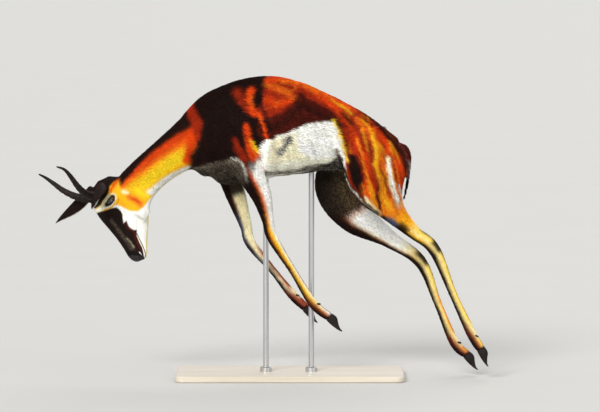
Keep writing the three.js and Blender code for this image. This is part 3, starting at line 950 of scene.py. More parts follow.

# The head's pattern, on millimetres along the face and up from its axis, with a painted sheen on the muzzle
# and a painted shadow under the jaw
HEAD_PATTERN: tuple[Stroke | Patch, ...] = (
    Patch(Hue.GOLD, ((-40, 90), (74, 60), (78, 9), (94, -8), (113, -24), (124, -44), (119, -64), (107, -84),
        (90, -130), (-40, -140)), 6),
    Stroke(Hue.YELLOW, ((20, -60), (44, -54), (70, -62), (96, -84)), (22, 20), 0.95, 0.9),
    Stroke(Hue.TAN, ((74, -33), (90, -46), (108, -55)), (12, 15), 0.9),
    Stroke(Hue.FLAME, ((78, -37), (90, -47), (104, -55)), (7, 9), 0.95, 0.9),
    Stroke(Hue.EMBER, ((82, -40), (92, -49), (102, -54)), (4, 5), 0.95, 0.6, 0.6),
    Stroke(Hue.EMBER, ((-10, -62), (16, -34), (26, -14), (36, 4)), (15, 7), 0.95, 0.85),
    Stroke(Hue.CREAM, ((54, -26), (62, -34)), (8, 7), 0.8, 0.85),
    Patch(Hue.MASK, ((-40, -110), (9, -80), (14, -50), (17, -22), (24, -2), (31, 5), (38, 12), (44, 22),
        (52, 35), (62, 47), (73, 58), (77, 53), (80, 40), (82, 24), (86, 9), (98, 2), (112, 0), (124, 4),
        (136, 6), (134, -4), (147, -4), (160, -7), (166, -12), (171, -25), (180, -20), (188, -16), (204, -16),
        (224, -17), (240, -14), (264, -10), (264, 90), (-40, 90)), 2.6),
    Stroke(Hue.CHESTNUT, ((138, 0), (156, -2), (172, -14), (196, -10), (230, -10)), (6, 5), 0.7, 0.95),
    # Painted sheen along the top of the muzzle: a broken grey band and a paler cream streak
    Stroke(Hue.ASH, ((112, 34), (136, 28), (162, 22), (188, 15), (214, 10)), (7, 9.5), 1.0, 0.34, 0.6),
    Stroke(Hue.CREAM, ((182, 12), (196, 7), (212, 5)), (3.0, 4.0), 1.0, 0.34, 0.5),
    Stroke(Hue.WHITE, ((232, -3), (238, -5), (245, -6)), (2.0, 2.6), 0.7, 0.9),
    # Painted shadow: a thin grey line under the line of the jaw
    Stroke(Hue.ASH, ((138, -38), (152, -32), (168, -25)), (1.6, 1.4), 0.9, 0.3),
    Stroke(Hue.GOLD, ((78, 44), (80, 26), (76, 8), (70, -4)), (2.6, 3.4), 0.6),
    Patch(Hue.CREAM, ((73, 57), (75, 46), (75.5, 31), (72, 14), (64, 1), (55, -4), (47, -3), (43, 8),
        (44, 22), (52, 35), (62, 46)), 2.0),
    Stroke(Hue.WHITE, ((71, 14), (74, 30), (72, 50)), (4, 4), 0.8, 0.9),
    Stroke(Hue.MAROON, ((66, -6), (74, 0), (80, 10)), (1.2, 1.6), 0.7, 0.7),
    Patch(Hue.STRAW, ((236, -64), (240, -24), (250, -17), (266, -12), (270, -64)), 8, 0.85),
    Patch(Hue.BLACK, ((218, 44), (218, 16), (232, 0), (246, -9), (268, -14), (272, 44)), 4),
)

# Creases and ridges of the body on the side view: line, half width, height in millimetres
RELIEF: tuple[tuple[Line, float, float], ...] = (
    (((333, 146), (338, 160), (346, 174), (358, 188)), 4.0, -3.2),
    (((328, 132), (334, 146), (342, 158)), 5.0, -2.4),
    (((262, 96), (259, 112), (266, 134), (263, 150), (262, 172)), 4.0, -2.6),
    (((236, 86), (244, 102), (250, 118), (252, 132)), 4.0, 2.2),
    (((214, 100), (216, 122), (210, 144)), 5.0, -2.2),
    (((226, 150), (238, 158), (250, 166)), 3.4, -2.0),
    (((300, 84), (330, 98), (356, 118), (372, 140)), 5.0, 1.6),
    (((352, 108), (352, 128), (362, 150), (366, 176)), 5.0, -2.4),
    (((384, 130), (386, 156), (388, 184), (392, 206)), 4.0, -2.2),
    (((374, 170), (378, 190), (386, 210)), 3.0, -1.6),
    (((396, 134), (404, 152), (403, 172)), 5.0, 1.8),
    (((200, 124), (196, 140), (188, 160)), 4.0, -2.0),
)


def mixed(base: Array, hue: Hue, weight: Array) -> Array:
    """The base colours with a hue laid over them by weight."""
    w = np.clip(weight, 0, 1)[:, None]
    return base * (1 - w) + np.array(hue.value) * w


def plain(hue: Hue, count: int) -> Array:
    """One hue for a number of points."""
    return np.tile(np.array(hue.value), (count, 1))


def layered(base: Hue, *layers: tuple[Hue, Array]) -> Array:
    """A hue with others laid over it in order.

    Args:
        base: The hue beneath.
        layers: Each further hue and its weight at every point.

    Returns:
        The colour of every point.
    """
    colour = plain(base, len(layers[0][1]))
    for hue, weight in layers:
        colour = mixed(colour, hue, weight)
    return colour


@dataclass
class Marked:
    """Points of the skin with where each lies on the body, which the coat is worked out from."""

    points: Array
    normals: Array
    region: Array
    place: Array
    turn: Array

    def of(self, *regions: Region) -> Array:
        """Which points are on the regions."""
        return np.isin(self.region, regions)


class Markings:
    """The coat's colours, worked out from bands and streaks that carry named colours."""

    def __init__(self, skin: Marked) -> None:
        """Keeps the points to be coloured.

        Args:
            skin: Points with their places on the body.
        """
        self.skin = skin
        wobble = 1.6 * np.stack([fine_noise(skin.points / (14 * MM), s) for s in (3, 9)], axis=1)
        self.flat = wobble + side_view(skin.points)
        for left, right in ((LEGS[0], LEGS[1]), (LEGS[2], LEGS[3])):
            here = skin.of(right.region)
            self.flat[here] = wobble[here] + side_view(self.matched(left, right, here))
        self.ragged = fine_noise(skin.points / (9 * MM), 21)
        self.specks = fine_noise(skin.points / (3.4 * MM), 33, 2)
        self.mottle = np.zeros(len(skin.points))
        limb = columns(skin.place * 1.3, skin.turn * 9, skin.region * 7.3)
        limb[:, 0] = np.where(skin.region == Region.HEAD, skin.place / 40, limb[:, 0])
        self.strands = fine_noise(limb, 40, 4)

    def matched(self, left: Chain, right: Chain, here: Array) -> Array:
        """Where points of a right leg would be on the left one, so that both carry the same pattern.

        Args:
            left: The left leg.
            right: The right leg.
            here: Which points are on the right leg.

        Returns:
            The places on the left leg.
        """
        place = self.skin.place[here]
        section, t, _, up = right.frames(place)
        off = self.skin.points[here] - section[:, :3]
        other, ahead, _, above = left.frames(place)
        run, rise = (off * t).sum(axis=1, keepdims=True), (off * up).sum(axis=1, keepdims=True)
        return other[:, :3] + ahead * run + above * rise * other[:, 3:4] / section[:, 3:4]

    def laid(
        self, colour: Array, mark: Stroke | Patch, flat: Array, where: Array | float = 1.0
    ) -> Array:
        """The colours with one streak or patch laid over them.

        Args:
            colour: The colours so far.
            mark: The streak or patch.
            flat: Points on the flat view that it is drawn on.
            where: How much of it each point may take.

        Returns:
            The new colours.
        """
        weight = mark.weight(flat) * where
        gaps = mark.speckle * ease(-0.15, 0.2, self.specks)
        # Flecks follow the speckled marks, all of which are painted shade or painted sheen
        self.mottle = np.maximum(self.mottle * (1 - weight), weight * (mark.speckle > 0))
        if mark.hue in BRIGHT and flat is self.flat:
            gaps = np.maximum(gaps, 0.6 * ease(-0.05, 0.3, self.strands))
        return mixed(colour, mark.hue, weight * (1 - gaps))

    def ground(self) -> Array:
        """The plain colour under the streaks, for each point.

        Returns:
            Colours of shape (n, 3).
        """
        skin = self.skin
        colour = plain(Hue.RUSSET, len(skin.points))
        paints = {Region.NECK: self.neck(), Region.TAIL: self.tail()}
        paints |= {region: self.fore_leg(region) for region in FORE}
        paints |= {region: self.hind_leg(region) for region in HIND}
        for region, paint in paints.items():
            here = skin.of(region)
            colour[here] = paint[here]
        trunk = skin.of(Region.TRUNK)
        under = ease(0.72, 0.9, np.abs(skin.turn) / np.pi + 0.02 * self.ragged) * trunk
        colour = mixed(colour, Hue.WHITE, under)
        rump = trunk | skin.of(*HIND)
        behind = ease(0.5, 0.8, skin.normals[:, 0]) * ease(0.262, 0.3, skin.points[:, 0])
        inner = fall(0.022, 0.034, np.abs(skin.points[:, 1]) + 0.002 * self.ragged)
        low = fall(0.66, 0.69, skin.points[:, 2])
        return mixed(colour, Hue.WHITE, behind * inner * low * rump)

    def neck(self) -> Array:
        """The neck's bands, from the dark nape, which is painted shade, to the white throat, with a painted
        highlight along the middle of its side.

        Returns:
            The colour of every point, as if all were on the neck.
        """
        place = self.skin.place
        over = np.cos(self.skin.turn) + 0.05 * self.ragged
        nape = np.interp(place, [0, 1.2, 2.2, 3.2, 4.6, 6], [0.42, 0.52, 0.7, 0.76, 0.58, 0.4])
        ember = np.interp(place, [0, 1.2, 2.2, 3.2, 4.6, 6], [-0.3, 0.0, 0.12, 0.18, 0.28, 0.24])
        throat = np.interp(place, [1, 2, 3, 4.5, 6], [0.88, 0.82, 0.74, 0.62, 0.52])
        return layered(
            Hue.GOLD,
            # Painted highlight along the middle of the neck's side
            (Hue.YELLOW, fall(0.1, 0.5, np.abs(over + 0.3)) * ease(1.3, 2.2, place) * 0.9),
            (Hue.FLAME, ease(-0.16, 0.1, over - ember)),
            (Hue.EMBER, ease(0.08, 0.34, over - ember)),
            # Painted shade along the top of the neck
            (Hue.NAPE, ease(-0.1, 0.08, over - nape)),
            (Hue.WHITE, ease(-0.07, 0.07, -over - throat)),
            (Hue.YELLOW, ease(0.94, 0.99, -over) * 0.6),
        )

    def tail(self) -> Array:
        """The tail: dark russet outside, white beneath, black at the end."""
        above = ease(-0.8, -0.4, -np.cos(self.skin.turn))
        return layered(Hue.WHITE, (Hue.MAROON, above), (Hue.BLACK, ease(2.2, 3.2, self.skin.place)))

    def fore_leg(self, region: Region) -> Array:
        """A foreleg: dark in front, orange between, white behind and inside; the white behind is partly the
        leg's own and partly a painted highlight on its rear edge.

        Args:
            region: Which foreleg.

        Returns:
            The colour of every point, as if all were on this leg.
        """
        place, rag = self.skin.place, self.ragged
        front = np.cos(self.skin.turn) + 0.07 * rag
        outer = np.sin(self.skin.turn) * (-1 if region is Region.FORE_LEFT else 1)
        inner = ease(0.15, 0.5, -outer)
        low = ease(4.9, 5.5, place)
        pale = np.interp(place, [1.4, 2.2, 3, 4.2, 5.2, 7, 8], [0.5, 0.1, 0.22, 0.34, 0.62, 0.7, 0.5])
        steps = [0, 1.6, 2.4, 3.6, 5, 6, 7, 8]
        dark = np.interp(place, steps, [0.7, 0.3, 0.06, 0.04, 0.3, 0.14, 0.0, -0.4])
        edge = ease(-0.08, 0.1, front - dark - 0.3 * inner * (place > 2.3) * (place < 4.6))
        slate = inner * ease(0.2, 0.6, front) * ease(3.2, 3.8, place) * fall(5.4, 6.2, place)
        cuff = ease(2.3, 2.42, place + 0.05 * rag) * fall(2.72, 2.84, place) * inner
        knee = fall(0.1, 0.3, np.abs(place - 5.1)) * ease(0.0, 0.4, front)
        return layered(
            Hue.EMBER,
            (Hue.FLAME, ease(1.8, 3.0, place)),
            (Hue.GOLD, ease(3.2, 4.4, place) * ease(-0.25, 0.1, -front)),
            (Hue.YELLOW, ease(3.8, 4.8, place) * ease(0.0, 0.3, -front) * 0.7),
            # White behind: partly the leg's own white, partly a painted highlight on the rear edge
            (Hue.WHITE, ease(-0.08, 0.1, -front - pale) * ease(1.4, 1.9, place)),
            (Hue.CREAM, inner * ease(-0.9, -0.5, -front) * ease(2.1, 2.5, place) * (1 - edge)),
            (Hue.RUSSET, inner * low * ease(0.3, 0.6, -front)),
            (Hue.CHOCOLATE, low * ease(0.86, 0.96, -front) * 0.8),
            (Hue.CHOCOLATE, edge),
            (Hue.SLATE, slate * 0.6),
            (Hue.CHOCOLATE, cuff * 0.95),
            (Hue.CHOCOLATE, knee * 0.7),
            *self.foot(),
        )

    def hind_leg(self, region: Region) -> Array:
        """A hind leg: russet thigh, gold and cream below, a dark front edge and a pale inside, with painted
        shade on the upper inside and the cream behind partly a painted highlight.

        Args:
            region: Which hind leg.

        Returns:
            The colour of every point, as if all were on this leg.
        """
        place, rag = self.skin.place, self.ragged
        front = np.cos(self.skin.turn) + 0.07 * rag
        outer = np.sin(self.skin.turn) * (-1 if region is Region.HIND_LEFT else 1)
        inner = ease(-0.4, 0.0, -outer)
        low = ease(5.0, 5.3, place)
        cream = ease(3.7, 4.2, place + 0.1 * rag) * ease(-0.35, 0.0, -front)
        rear = ease(0.78, 0.92, -front) * ease(4.0, 4.3, place) * fall(5.1, 5.3, place)
        # The painted shade on the upper inside of the thigh
        dim = self.thigh_inside_shade()
        brim = inner * ease(0.2, 0.7, front)
        bright = (inner - dim) * fall(4.2, 4.9, place)
        dark = np.interp(place, [2.4, 3.2, 4.4, 5.1, 5.4, 7, 8], [0.9, 0.6, 0.55, 0.1, 0.2, 0.06, -0.4])
        blue = fall(0.1, 0.34, np.abs(place - 3.3)) * ease(0.25, 0.5, front) * (1 - inner)
        mark = fall(0.12, 0.3, np.abs(place - 3.68) + 0.1 * rag) * ease(-0.25, 0.2, front)
        hock = fall(0.1, 0.26, np.abs(place - 4.93) + 0.1 * rag) * ease(0.1, 0.5, -front)
        return layered(
            Hue.RUSSET,
            (Hue.FLAME, ease(2.2, 3.0, place + 0.2 * rag)),
            (Hue.GOLD, ease(2.8, 3.6, place) * 0.85),
            # The cream and the brighter yellow behind are partly the leg's own pale colour and partly a
            # painted highlight on its rear edge
            (Hue.CREAM, np.maximum(cream, low * ease(-0.25, 0.1, -front))),
            (Hue.YELLOW, ease(3.6, 4.2, place) * (0.4 + 0.4 * ease(0.3, 0.7, -front))),
            (Hue.CHOCOLATE, low * ease(0.88, 0.97, -front) * 0.8),
            (Hue.TAN, ease(5.6, 6.0, place) * inner * ease(0.5, 0.8, -front) * 0.9),
            (Hue.BLACK, rear * 0.9),
            # Painted shade on the upper inside of the thigh, darkest at its front edge
            (Hue.BARK, dim),
            (Hue.SOOT, np.maximum(dim, brim * fall(3.5, 3.9, place)) * brim * 0.9),
            (Hue.TAN, brim * ease(3.6, 3.9, place) * fall(4.4, 4.8, place) * 0.8),
            (Hue.WHITE, bright * fall(0.4, 0.62, front)),
            (Hue.CHOCOLATE, ease(-0.08, 0.1, front - dark) * ease(2.5, 3.0, place)),
            (Hue.SLATE, blue * 0.9),
            (Hue.CHOCOLATE, mark * ease(-0.2, 0.2, outer) * 0.95),
            (Hue.BLACK, hock * 0.95),
            *self.foot(),
        )

    def thigh_inside_shade(self) -> Array:
        """How far each point is on the inside of a thigh, which is painted as shade.

        Returns:
            A weight of 0 to 1 for each point.
        """
        skin = self.skin
        hand = np.where(skin.region == Region.HIND_LEFT, 1, -1)
        inner = ease(-0.4, 0.0, np.sin(skin.turn) * hand) * skin.of(*HIND)
        return inner * fall(2.75, 3.1, skin.place + 0.12 * self.ragged)

    def foot(self) -> tuple[tuple[Hue, Array], ...]:
        """Layers of the foot.

        Returns:
            Russet at its side, cream behind the fetlock, and the dark pastern.
        """
        place, front = self.skin.place, np.cos(self.skin.turn) + 0.1 * self.ragged
        return (
            (Hue.RUSSET, ease(6.5, 7.2, place) * ease(-0.8, -0.3, front) * 0.9),
            (Hue.CREAM, fall(0.15, 0.4, np.abs(place - 7.0)) * ease(0.5, 0.8, -front)),
            (Hue.CHOCOLATE, ease(6.4, 7.2, place) * ease(-0.3, 0.1, front)),
        )

    def head(self) -> Array:
        """The head: a dark mask and crown, a pale ring at the eye, white cheek, chin and throat.

        Returns:
            The colour of every point, as if all were on the head.
        """
        skin = self.skin
        reach, height, out = HEAD.local(skin.points).T
        flat = columns(reach, height) + 0.6 * (self.flat - side_view(skin.points))
        colour = plain(Hue.WHITE, len(skin.points))
        turned = skin.normals @ HEAD.axes.T
        roll_cos, roll_sin = 0.883, 0.469
        beneath = -roll_cos * turned[:, 1] + roll_sin * np.abs(turned[:, 2])
        colour = mixed(colour, Hue.YELLOW, ease(0.78, 0.94, beneath) * (reach > 60) * 0.9)
        for mark in HEAD_PATTERN:
            colour = self.laid(colour, mark, flat)
        off = columns(reach, height, np.abs(out)) - np.array(HEAD.eye)
        u, v = LIDS.flat(off)
        lids = fall(0.85, 1.1, np.hypot(u / 20.5, v / 9.6))
        return mixed(colour, Hue.BLACK, lids * (off[:, 2] > -8))

    def colours(self, blur: Callable[[Array, int], Array]) -> Array:
        """The finished colour of each point.

        Args:
            blur: Spreads values over the skin by a number of steps.

        Returns:
            Linear colours of shape (n, 3).
        """
        skin = self.skin
        colour = blur(self.ground(), 2)
        thigh = ease(0.12, 0.2, skin.points[:, 0]) * skin.of(Region.TRUNK, *HIND)
        fore = skin.of(*FORE)
        hind = skin.of(*HIND)
        high = np.where(fore, fall(1.9, 2.6, skin.place), 1.0)
        high = np.where(hind, fall(2.7, 3.2, skin.place), high)
        inner = (fore | hind) & (skin.normals[:, 1] * np.sign(skin.points[:, 1]) < -0.15)
        high = np.where(inner, 0, high) * skin.of(Region.TRUNK, *FORE, *HIND)
        under = ease(0.35, 0.75, -skin.normals[:, 2]) * skin.of(Region.TRUNK)
        middle = ease(-0.11, -0.08, skin.points[:, 0]) * fall(0.1, 0.14, skin.points[:, 0])
        for mark in BODY_PATTERN:
            colour = self.laid(colour, mark, self.flat, high)
        colour = mixed(colour, Hue.WHITE, under * middle * 0.6)
        down = columns(self.flat[:, 0] - 0.3 * self.flat[:, 1], 0.09 * self.flat[:, 1], 0 * high)
        lit = fine_noise(down / 2.6, 91, 2)
        red = ease(0.05, 0.25, colour[:, 0] - colour[:, 2]) * thigh * high
        colour = mixed(colour, Hue.GOLD, ease(0.2, 0.6, lit) * red * 0.6)
        colour = mixed(colour, Hue.MAROON, ease(0.15, 0.5, -lit) * red * 0.65)
        # Painted shade along the belly's lower edge and in the groin
        for mark in BELLY_SHADE:
            colour = self.laid(colour, mark, self.flat, high)
        # Black flecks also over the painted shade inside the thighs
        self.mottle = np.maximum(self.mottle, self.thigh_inside_shade())
        body, head = self.mottle, skin.of(Region.HEAD)
        colour[head] = self.head()[head]
        self.mottle = np.where(head, self.mottle, body)
        neck = skin.of(Region.NECK)
        nape = ease(0.3, 0.6, np.cos(skin.turn))
        ember = Stroke(Hue.EMBER, ((200, 112), (195, 128), (190, 146), (186, 160)), (13, 7), 0.7)
        colour = self.laid(colour, ember, self.flat, neck * (1 - nape))
        # The painted shade of the shoulder, laid over the neck's points too
        colour = self.laid(colour, Patch(Hue.CHOCOLATE, BODY_PATTERN[0].outline, 5), self.flat, neck)
        border = blur(head.astype(float), 8)
        border = np.clip(5 * border * (1 - border), 0, 1)[:, None]
        return self.streaked(colour + border * (blur(colour, 6) - colour))

    def streaked(self, colour: Array) -> Array:
        """The colours with fine streaks along the lie of the coat.

        Args:
            colour: The colours so far.

        Returns:
            The new colours.
        """
        broad = fine_noise(self.skin.points / (45 * MM), 60)
        factor = 1 + 0.26 * self.strands + 0.08 * broad
        pale = ease(0.25, 0.6, colour.mean(axis=1))
        factor = 1 + (factor - 1) * (1 - 0.72 * pale)
        return np.clip(colour * factor[:, None], 0.002, 0.92)


# Shaping the skin


class Web:
    """A mesh's edges, for spreading values from point to point."""

    def __init__(self, mesh: Mesh) -> None:
        """Reads the edges.

        Args:
            mesh: The mesh.
        """
        first, second = read(mesh.edges, "vertices", 2).T
        self.start, self.end = np.concatenate([first, second]), np.concatenate([second, first])
        self.count = len(mesh.vertices)
        self.degree = np.maximum(np.bincount(self.start, minlength=self.count), 1)

    def mean(self, values: Array) -> Array:
        """The mean of each point's neighbours.

        Args:
            values: A value or row for each point.

        Returns:
            The means, in the same shape.
        """
        flat = values.reshape(self.count, -1)
        sums = [np.bincount(self.start, weights=column[self.end], minlength=self.count) for column in flat.T]
        return (np.stack(sums, axis=1) / self.degree[:, None]).reshape(values.shape)

    def blur(self, values: Array, steps: int) -> Array:
        """The values spread over a number of steps."""
        for _ in range(steps):
            values = values + 0.5 * (self.mean(values) - values)
        return values

    def relax(self, points: Array, steps: int, weight: Array | float = 1.0) -> Array:
        """Points with their roughness smoothed out and their size kept.

        Args:
            points: The points.
            steps: How many pairs of smoothing steps.
            weight: How much each point moves.

        Returns:
            The moved points.
        """
        weight = np.reshape(weight, (-1, 1)) if np.ndim(weight) else weight
        for _ in range(steps):
            points = points + 0.6 * weight * (self.mean(points) - points)
            points = points - 0.55 * weight * (self.mean(points) - points)
        return points


def points_of(mesh: Mesh) -> Array:
    """A mesh's points."""
    return read(mesh.vertices, "co", 3, np.float32).astype(float)


def normals_of(mesh: Mesh) -> Array:
    """A mesh's point normals."""
    return read(mesh.vertex_normals, "vector", 3, np.float32).astype(float)


def move_points(mesh: Mesh, points: Array) -> None:
    """Gives a mesh new points."""
    mesh.vertices.foreach_set("co", points.astype(np.float32).ravel())
    mesh.update()


def refine(mesh: Mesh, chosen: Array) -> None:
    """Splits each edge between chosen points in two.

    Args:
        mesh: The mesh, which is changed.
        chosen: Which points are in the finer part.
    """
    work = bmesh.new()
    work.from_mesh(mesh)
    edges = [e for e in work.edges if chosen[e.verts[0].index] and chosen[e.verts[1].index]]
    bmesh.ops.subdivide_edges(work, edges=edges, cuts=1, use_grid_fill=True)
    bmesh.ops.triangulate(work, faces=[f for f in work.faces if len(f.verts) > 4])
    for face in work.faces:
        face.smooth = True
    work.to_mesh(mesh)
    work.free()


@dataclass(frozen=True)
class Eyelids:
    """The opening between the lids, in millimetres on the head."""

    half_length: float = 14.4
    upper: float = 7.4
    lower: float = 6.4
    front_corner: float = 4.0
    turn: float = 64.0
    under: float = 14.2
    rim: float = 16.7

    def flat(self, off: Array) -> tuple[Array, Array]:
        """Offsets from the eye's centre, along the opening and up across it.

        Args:
            off: Offsets in millimetres along the face, up and out.

        Returns:
            The two distances.
        """
        turn = math.radians(self.turn)
        along_lids = off[:, 0] * math.cos(turn) + off[:, 1] * math.sin(turn)
        return along_lids, off[:, 1] * math.cos(turn) - off[:, 0] * math.sin(turn)

    def share(self, off: Array) -> Array:
        """Where offsets lie in the opening: 0 in its middle and 1 on its rim.

        Args:
            off: Offsets from the eye's centre, in millimetres along the face, up and out.

        Returns:
            The share for each offset.
        """
        u, v = self.flat(off)
        length = self.half_length + self.front_corner * ease(0, 14, u) * fall(0, 7, np.abs(v))
        return np.sqrt((u / length) ** 2 + (v / np.where(v > 0, self.upper, self.lower)) ** 2)

    def edge(self, count: int) -> Array:
        """Points round the rim as offsets along the face, up and out.

        Args:
            count: How many points.

        Returns:
            The offsets in millimetres.
        """
        angle = turns(count)
        u = self.half_length * np.cos(angle) + self.front_corner * np.maximum(np.cos(angle), 0) ** 9
        v = np.where(np.sin(angle) > 0, self.upper, self.lower) * np.sin(angle)
        v *= 1 - 0.25 * np.maximum(np.cos(angle), 0) ** 6
        turn = math.radians(self.turn)
        x, y = u * math.cos(turn) - v * math.sin(turn), u * math.sin(turn) + v * math.cos(turn)
        return columns(x, y, np.sqrt(np.maximum(self.rim**2 - x**2 - y**2, 9.0)))


LIDS = Eyelids()


@dataclass
class Skin:
    """The one skin of the whole animal: made of the lengths of the body, smoothed together and shaped."""

    cell: float = SKIN_CELL
    brisket: Point = (-0.235, 0, 0.572)
    brisket_size: Point = (0.07, 0.12, 0.045)
    lumps: tuple[tuple[Point, Point], ...] = (
        ((63, 14, 28), (29, 22, 19)),
        ((66, -32, 22), (45, 28, 19)),
        ((237, 1, 12), (16, 14, 10)),
        ((15, 26, 34), (15, 14, 14)),
        ((33, 40, 18), (17, 13, 15)),
    )
    marked: Marked | None = field(default=None, repr=False)
    web: Web | None = field(default=None, repr=False)

    def build(self) -> Object:
        """Makes the skin.

        Returns:
            Its object, with the coat's colours and lie stored on it.
        """
        rough = joined("rough_skin", self.lengths())
        modifier = rough.modifiers.new("one_surface", "REMESH")
        modifier.mode = "VOXEL"
        modifier.voxel_size = self.cell
        item = as_modified(rough, "springbok_skin")
        mesh = item.data
        mesh.polygons.foreach_set("use_smooth", [True] * len(mesh.polygons))
        self.smooth_unions(mesh)
        self.refine_head(mesh)
        self.shape_body(mesh)
        self.shape_face(mesh)
        self.web = Web(mesh)
        self.marked = self.measured(mesh)
        self.dress(mesh)
        return item

    def lengths(self) -> list[Shell]:
        """The closed lengths and lumps that the skin is run together from.

        Returns:
            Points and faces of each.
        """
        parts = [TRUNK.body(), NECK.body(), TAIL.body(20, 0.1), HEAD.body()]
        parts += [leg.body() for leg in LEGS]
        for side in Side:
            for (reach, height, out), size in self.lumps:
                parts.append(HEAD.lump((reach, height, out * side), size))
        return parts

    def ratios(self, points: Array) -> tuple[Array, Array, Array]:
        """Place, turn and distance share of the points on every length, in the order of Region.

        Args:
            points: Array of shape (n, 3).

        Returns:
            Three arrays of a row for each length.
        """
        found = [part.measure(points) for part in (TRUNK, NECK, HEAD, TAIL, *LEGS)]
        place, turn, ratio = (np.stack(column) for column in zip(*found))
        return place, turn, ratio

    def smooth_unions(self, mesh: Mesh) -> None:
        """Smooths the whole skin a little, and much more where two lengths meet.

        Args:
            mesh: The skin's mesh.
        """
        points = points_of(mesh)
        web = Web(mesh)
        _, _, ratio = self.ratios(points)
        two = np.sort(ratio, axis=0)[:2]
        meeting = fall(0.02, 0.42, two[1] - two[0])
        foot = (points[:, 2] < 0.45) & (np.abs(points[:, 0]) < 0.7)
        meeting = web.blur(np.where(foot, 0, meeting), 6)
        points = web.relax(points, 4)
        off = (points - np.array(self.brisket)) / np.array(self.brisket_size)
        brisket = np.exp(-(off**2).sum(axis=1))
        for _ in range(14):
            points = points + 0.6 * meeting[:, None] * (web.mean(points) - points)
        for _ in range(40):
            points = points + 0.6 * brisket[:, None] * (web.mean(points) - points)
        move_points(mesh, points)

    def refine_head(self, mesh: Mesh) -> None:
        """Makes the mesh twice as fine on the head, and four times at the eyes, nose and mouth.

        Args:
            mesh: The skin's mesh.
        """
        local = HEAD.local(points_of(mesh))
        refine(mesh, HEAD.within(local, -12, np.inf, 110, 75))
        points = points_of(mesh)
        local = HEAD.local(points)
        on_head = HEAD.within(local, -6, np.inf, 105, 70)
        move_points(mesh, Web(mesh).relax(points, 3, on_head.astype(float)))
        local = HEAD.local(points_of(mesh))
        eye = np.array(HEAD.eye)
        close = np.linalg.norm(np.abs(local) * [1, 0, 1] + local * [0, 1, 0] - eye, axis=1) < 27
        nose = (local[:, 0] > 222) & (local[:, 0] < 270) & on_head[0 : len(local)]
        refine(mesh, close | nose)
        points = points_of(mesh)
        local = HEAD.local(points)
        on_head = HEAD.within(local, 200, 270, 60, 40)
        eyes = np.linalg.norm(np.abs(local) * [1, 0, 1] + local * [0, 1, 0] - eye, axis=1) < 30
        move_points(mesh, Web(mesh).relax(points, 2, (on_head | eyes).astype(float)))

    def shape_body(self, mesh: Mesh) -> None:
        """Raises the muscles and sinks the folds of the trunk and legs.

        Args:
            mesh: The skin's mesh.
        """
        points, normals = points_of(mesh), normals_of(mesh)
        place, turn, ratio = self.ratios(points)
        order = ratio.argmin(axis=0)
        flat = side_view(points)
        sideways = ease(0.25, 0.7, normals[:, 1] * np.sign(points[:, 1]))
        trunk_like = (order != Region.NECK) & (order != Region.HEAD) & (order != Region.TAIL)
        rise = np.zeros(len(points))
        for line, width, height in RELIEF:
            far, share = line_distance(flat, line)
            fade = ease(0, 0.15, share) * fall(0.85, 1, share)
            rise += height * bell(far, width) * (0.35 + 0.65 * fade)
        rise *= sideways * trunk_like * (points[:, 2] > 0.44)
        ribs = np.sin((points[:, 0] / MM + 0.35 * points[:, 2] / MM) / 26 * 2 * np.pi)
        rib_zone = ease(-150, -90, points[:, 0] / MM) * fall(70, 120, points[:, 0] / MM)
        rise += 0.25 * ribs * rib_zone * sideways * (order == Region.TRUNK)
        for leg in (Region.FORE_LEFT, Region.FORE_RIGHT, Region.HIND_LEFT, Region.HIND_RIGHT):
            k = leg.value
            here = order == k
            shank = ease(5.1, 5.5, place[k]) * fall(6.5, 6.9, place[k])
            rise -= 1.3 * here * shank * bell(np.abs(turn[k]) - 1.75, 0.42)
            if leg in (Region.HIND_LEFT, Region.HIND_RIGHT):
                gaskin = ease(3.3, 3.9, place[k]) * fall(4.7, 5.0, place[k])
                rise -= 4.2 * here * gaskin * bell(np.abs(turn[k]) - 2.05, 0.4)
        neck = order == Region.NECK
        furrow = bell(np.abs(turn[Region.NECK]) - 2.0, 0.3)
        rise -= 2.2 * neck * furrow * ease(0.8, 1.8, place[Region.NECK])
        move_points(mesh, points + normals * (rise * MM)[:, None])

    def shape_face(self, mesh: Mesh) -> None:
        """Opens the lids, nostrils and mouth, and shapes the face round them.

        Args:
            mesh: The skin's mesh.
        """
        points, normals = points_of(mesh), normals_of(mesh)
        local = HEAD.local(points)
        turned = normals @ HEAD.axes.T
        reach, height, side = local[:, 0], local[:, 1], np.sign(local[:, 2])
        out = np.abs(local[:, 2])
        near_head = (reach > -20) & (reach < 280) & (np.abs(height) < 110) & (out < 80)
        rise = np.zeros(len(points))
        bumps = (
            ((94, 6, 36), (15, 9, 14), -2.6),
            ((70, -3, 46), (24, 6, 14), 1.8),
            ((128, -6, 34), (34, 8, 14), 1.2),
            ((150, 18, 26), (40, 12, 14), -1.4),
            ((104, -34, 38), (13, 26, 16), -1.8),
            ((40, -8, 44), (14, 16, 16), -2.6),
            ((62, 46, 0), (26, 20, 12), -2.2),
            ((232, -30, 8), (14, 8, 14), 1.0),
            ((222, -7, 22), (18, 5, 10), -0.8),
        )
        for centre, size, rises in bumps:
            off = (columns(reach, height, out) - centre) / np.array(size)
            rise += rises * np.exp(-(off**2).sum(axis=1))
        mouth = HEAD.mouth(reach)
        groove = bell(height - mouth, 1.7) * ease(170, 180, reach)
        lips = bell(height - mouth - 4.5, 3.2) * ease(178, 200, reach)
        rise += -2.6 * groove + 0.9 * lips
        seam = bell(out, 1.2) * ease(244, 250, reach) * (height > mouth)
        rise -= 1.2 * seam
        pit = np.sqrt(((reach - 246) / 6.2) ** 2 + ((height - 3.5) / 3.3) ** 2 + ((out - 13.5) / 6.5) ** 2)
        rise += -5.0 * fall(0.35, 1.0, pit) + 1.1 * bell(pit - 1.35, 0.35)
        local = local + turned * (rise * near_head)[:, None]
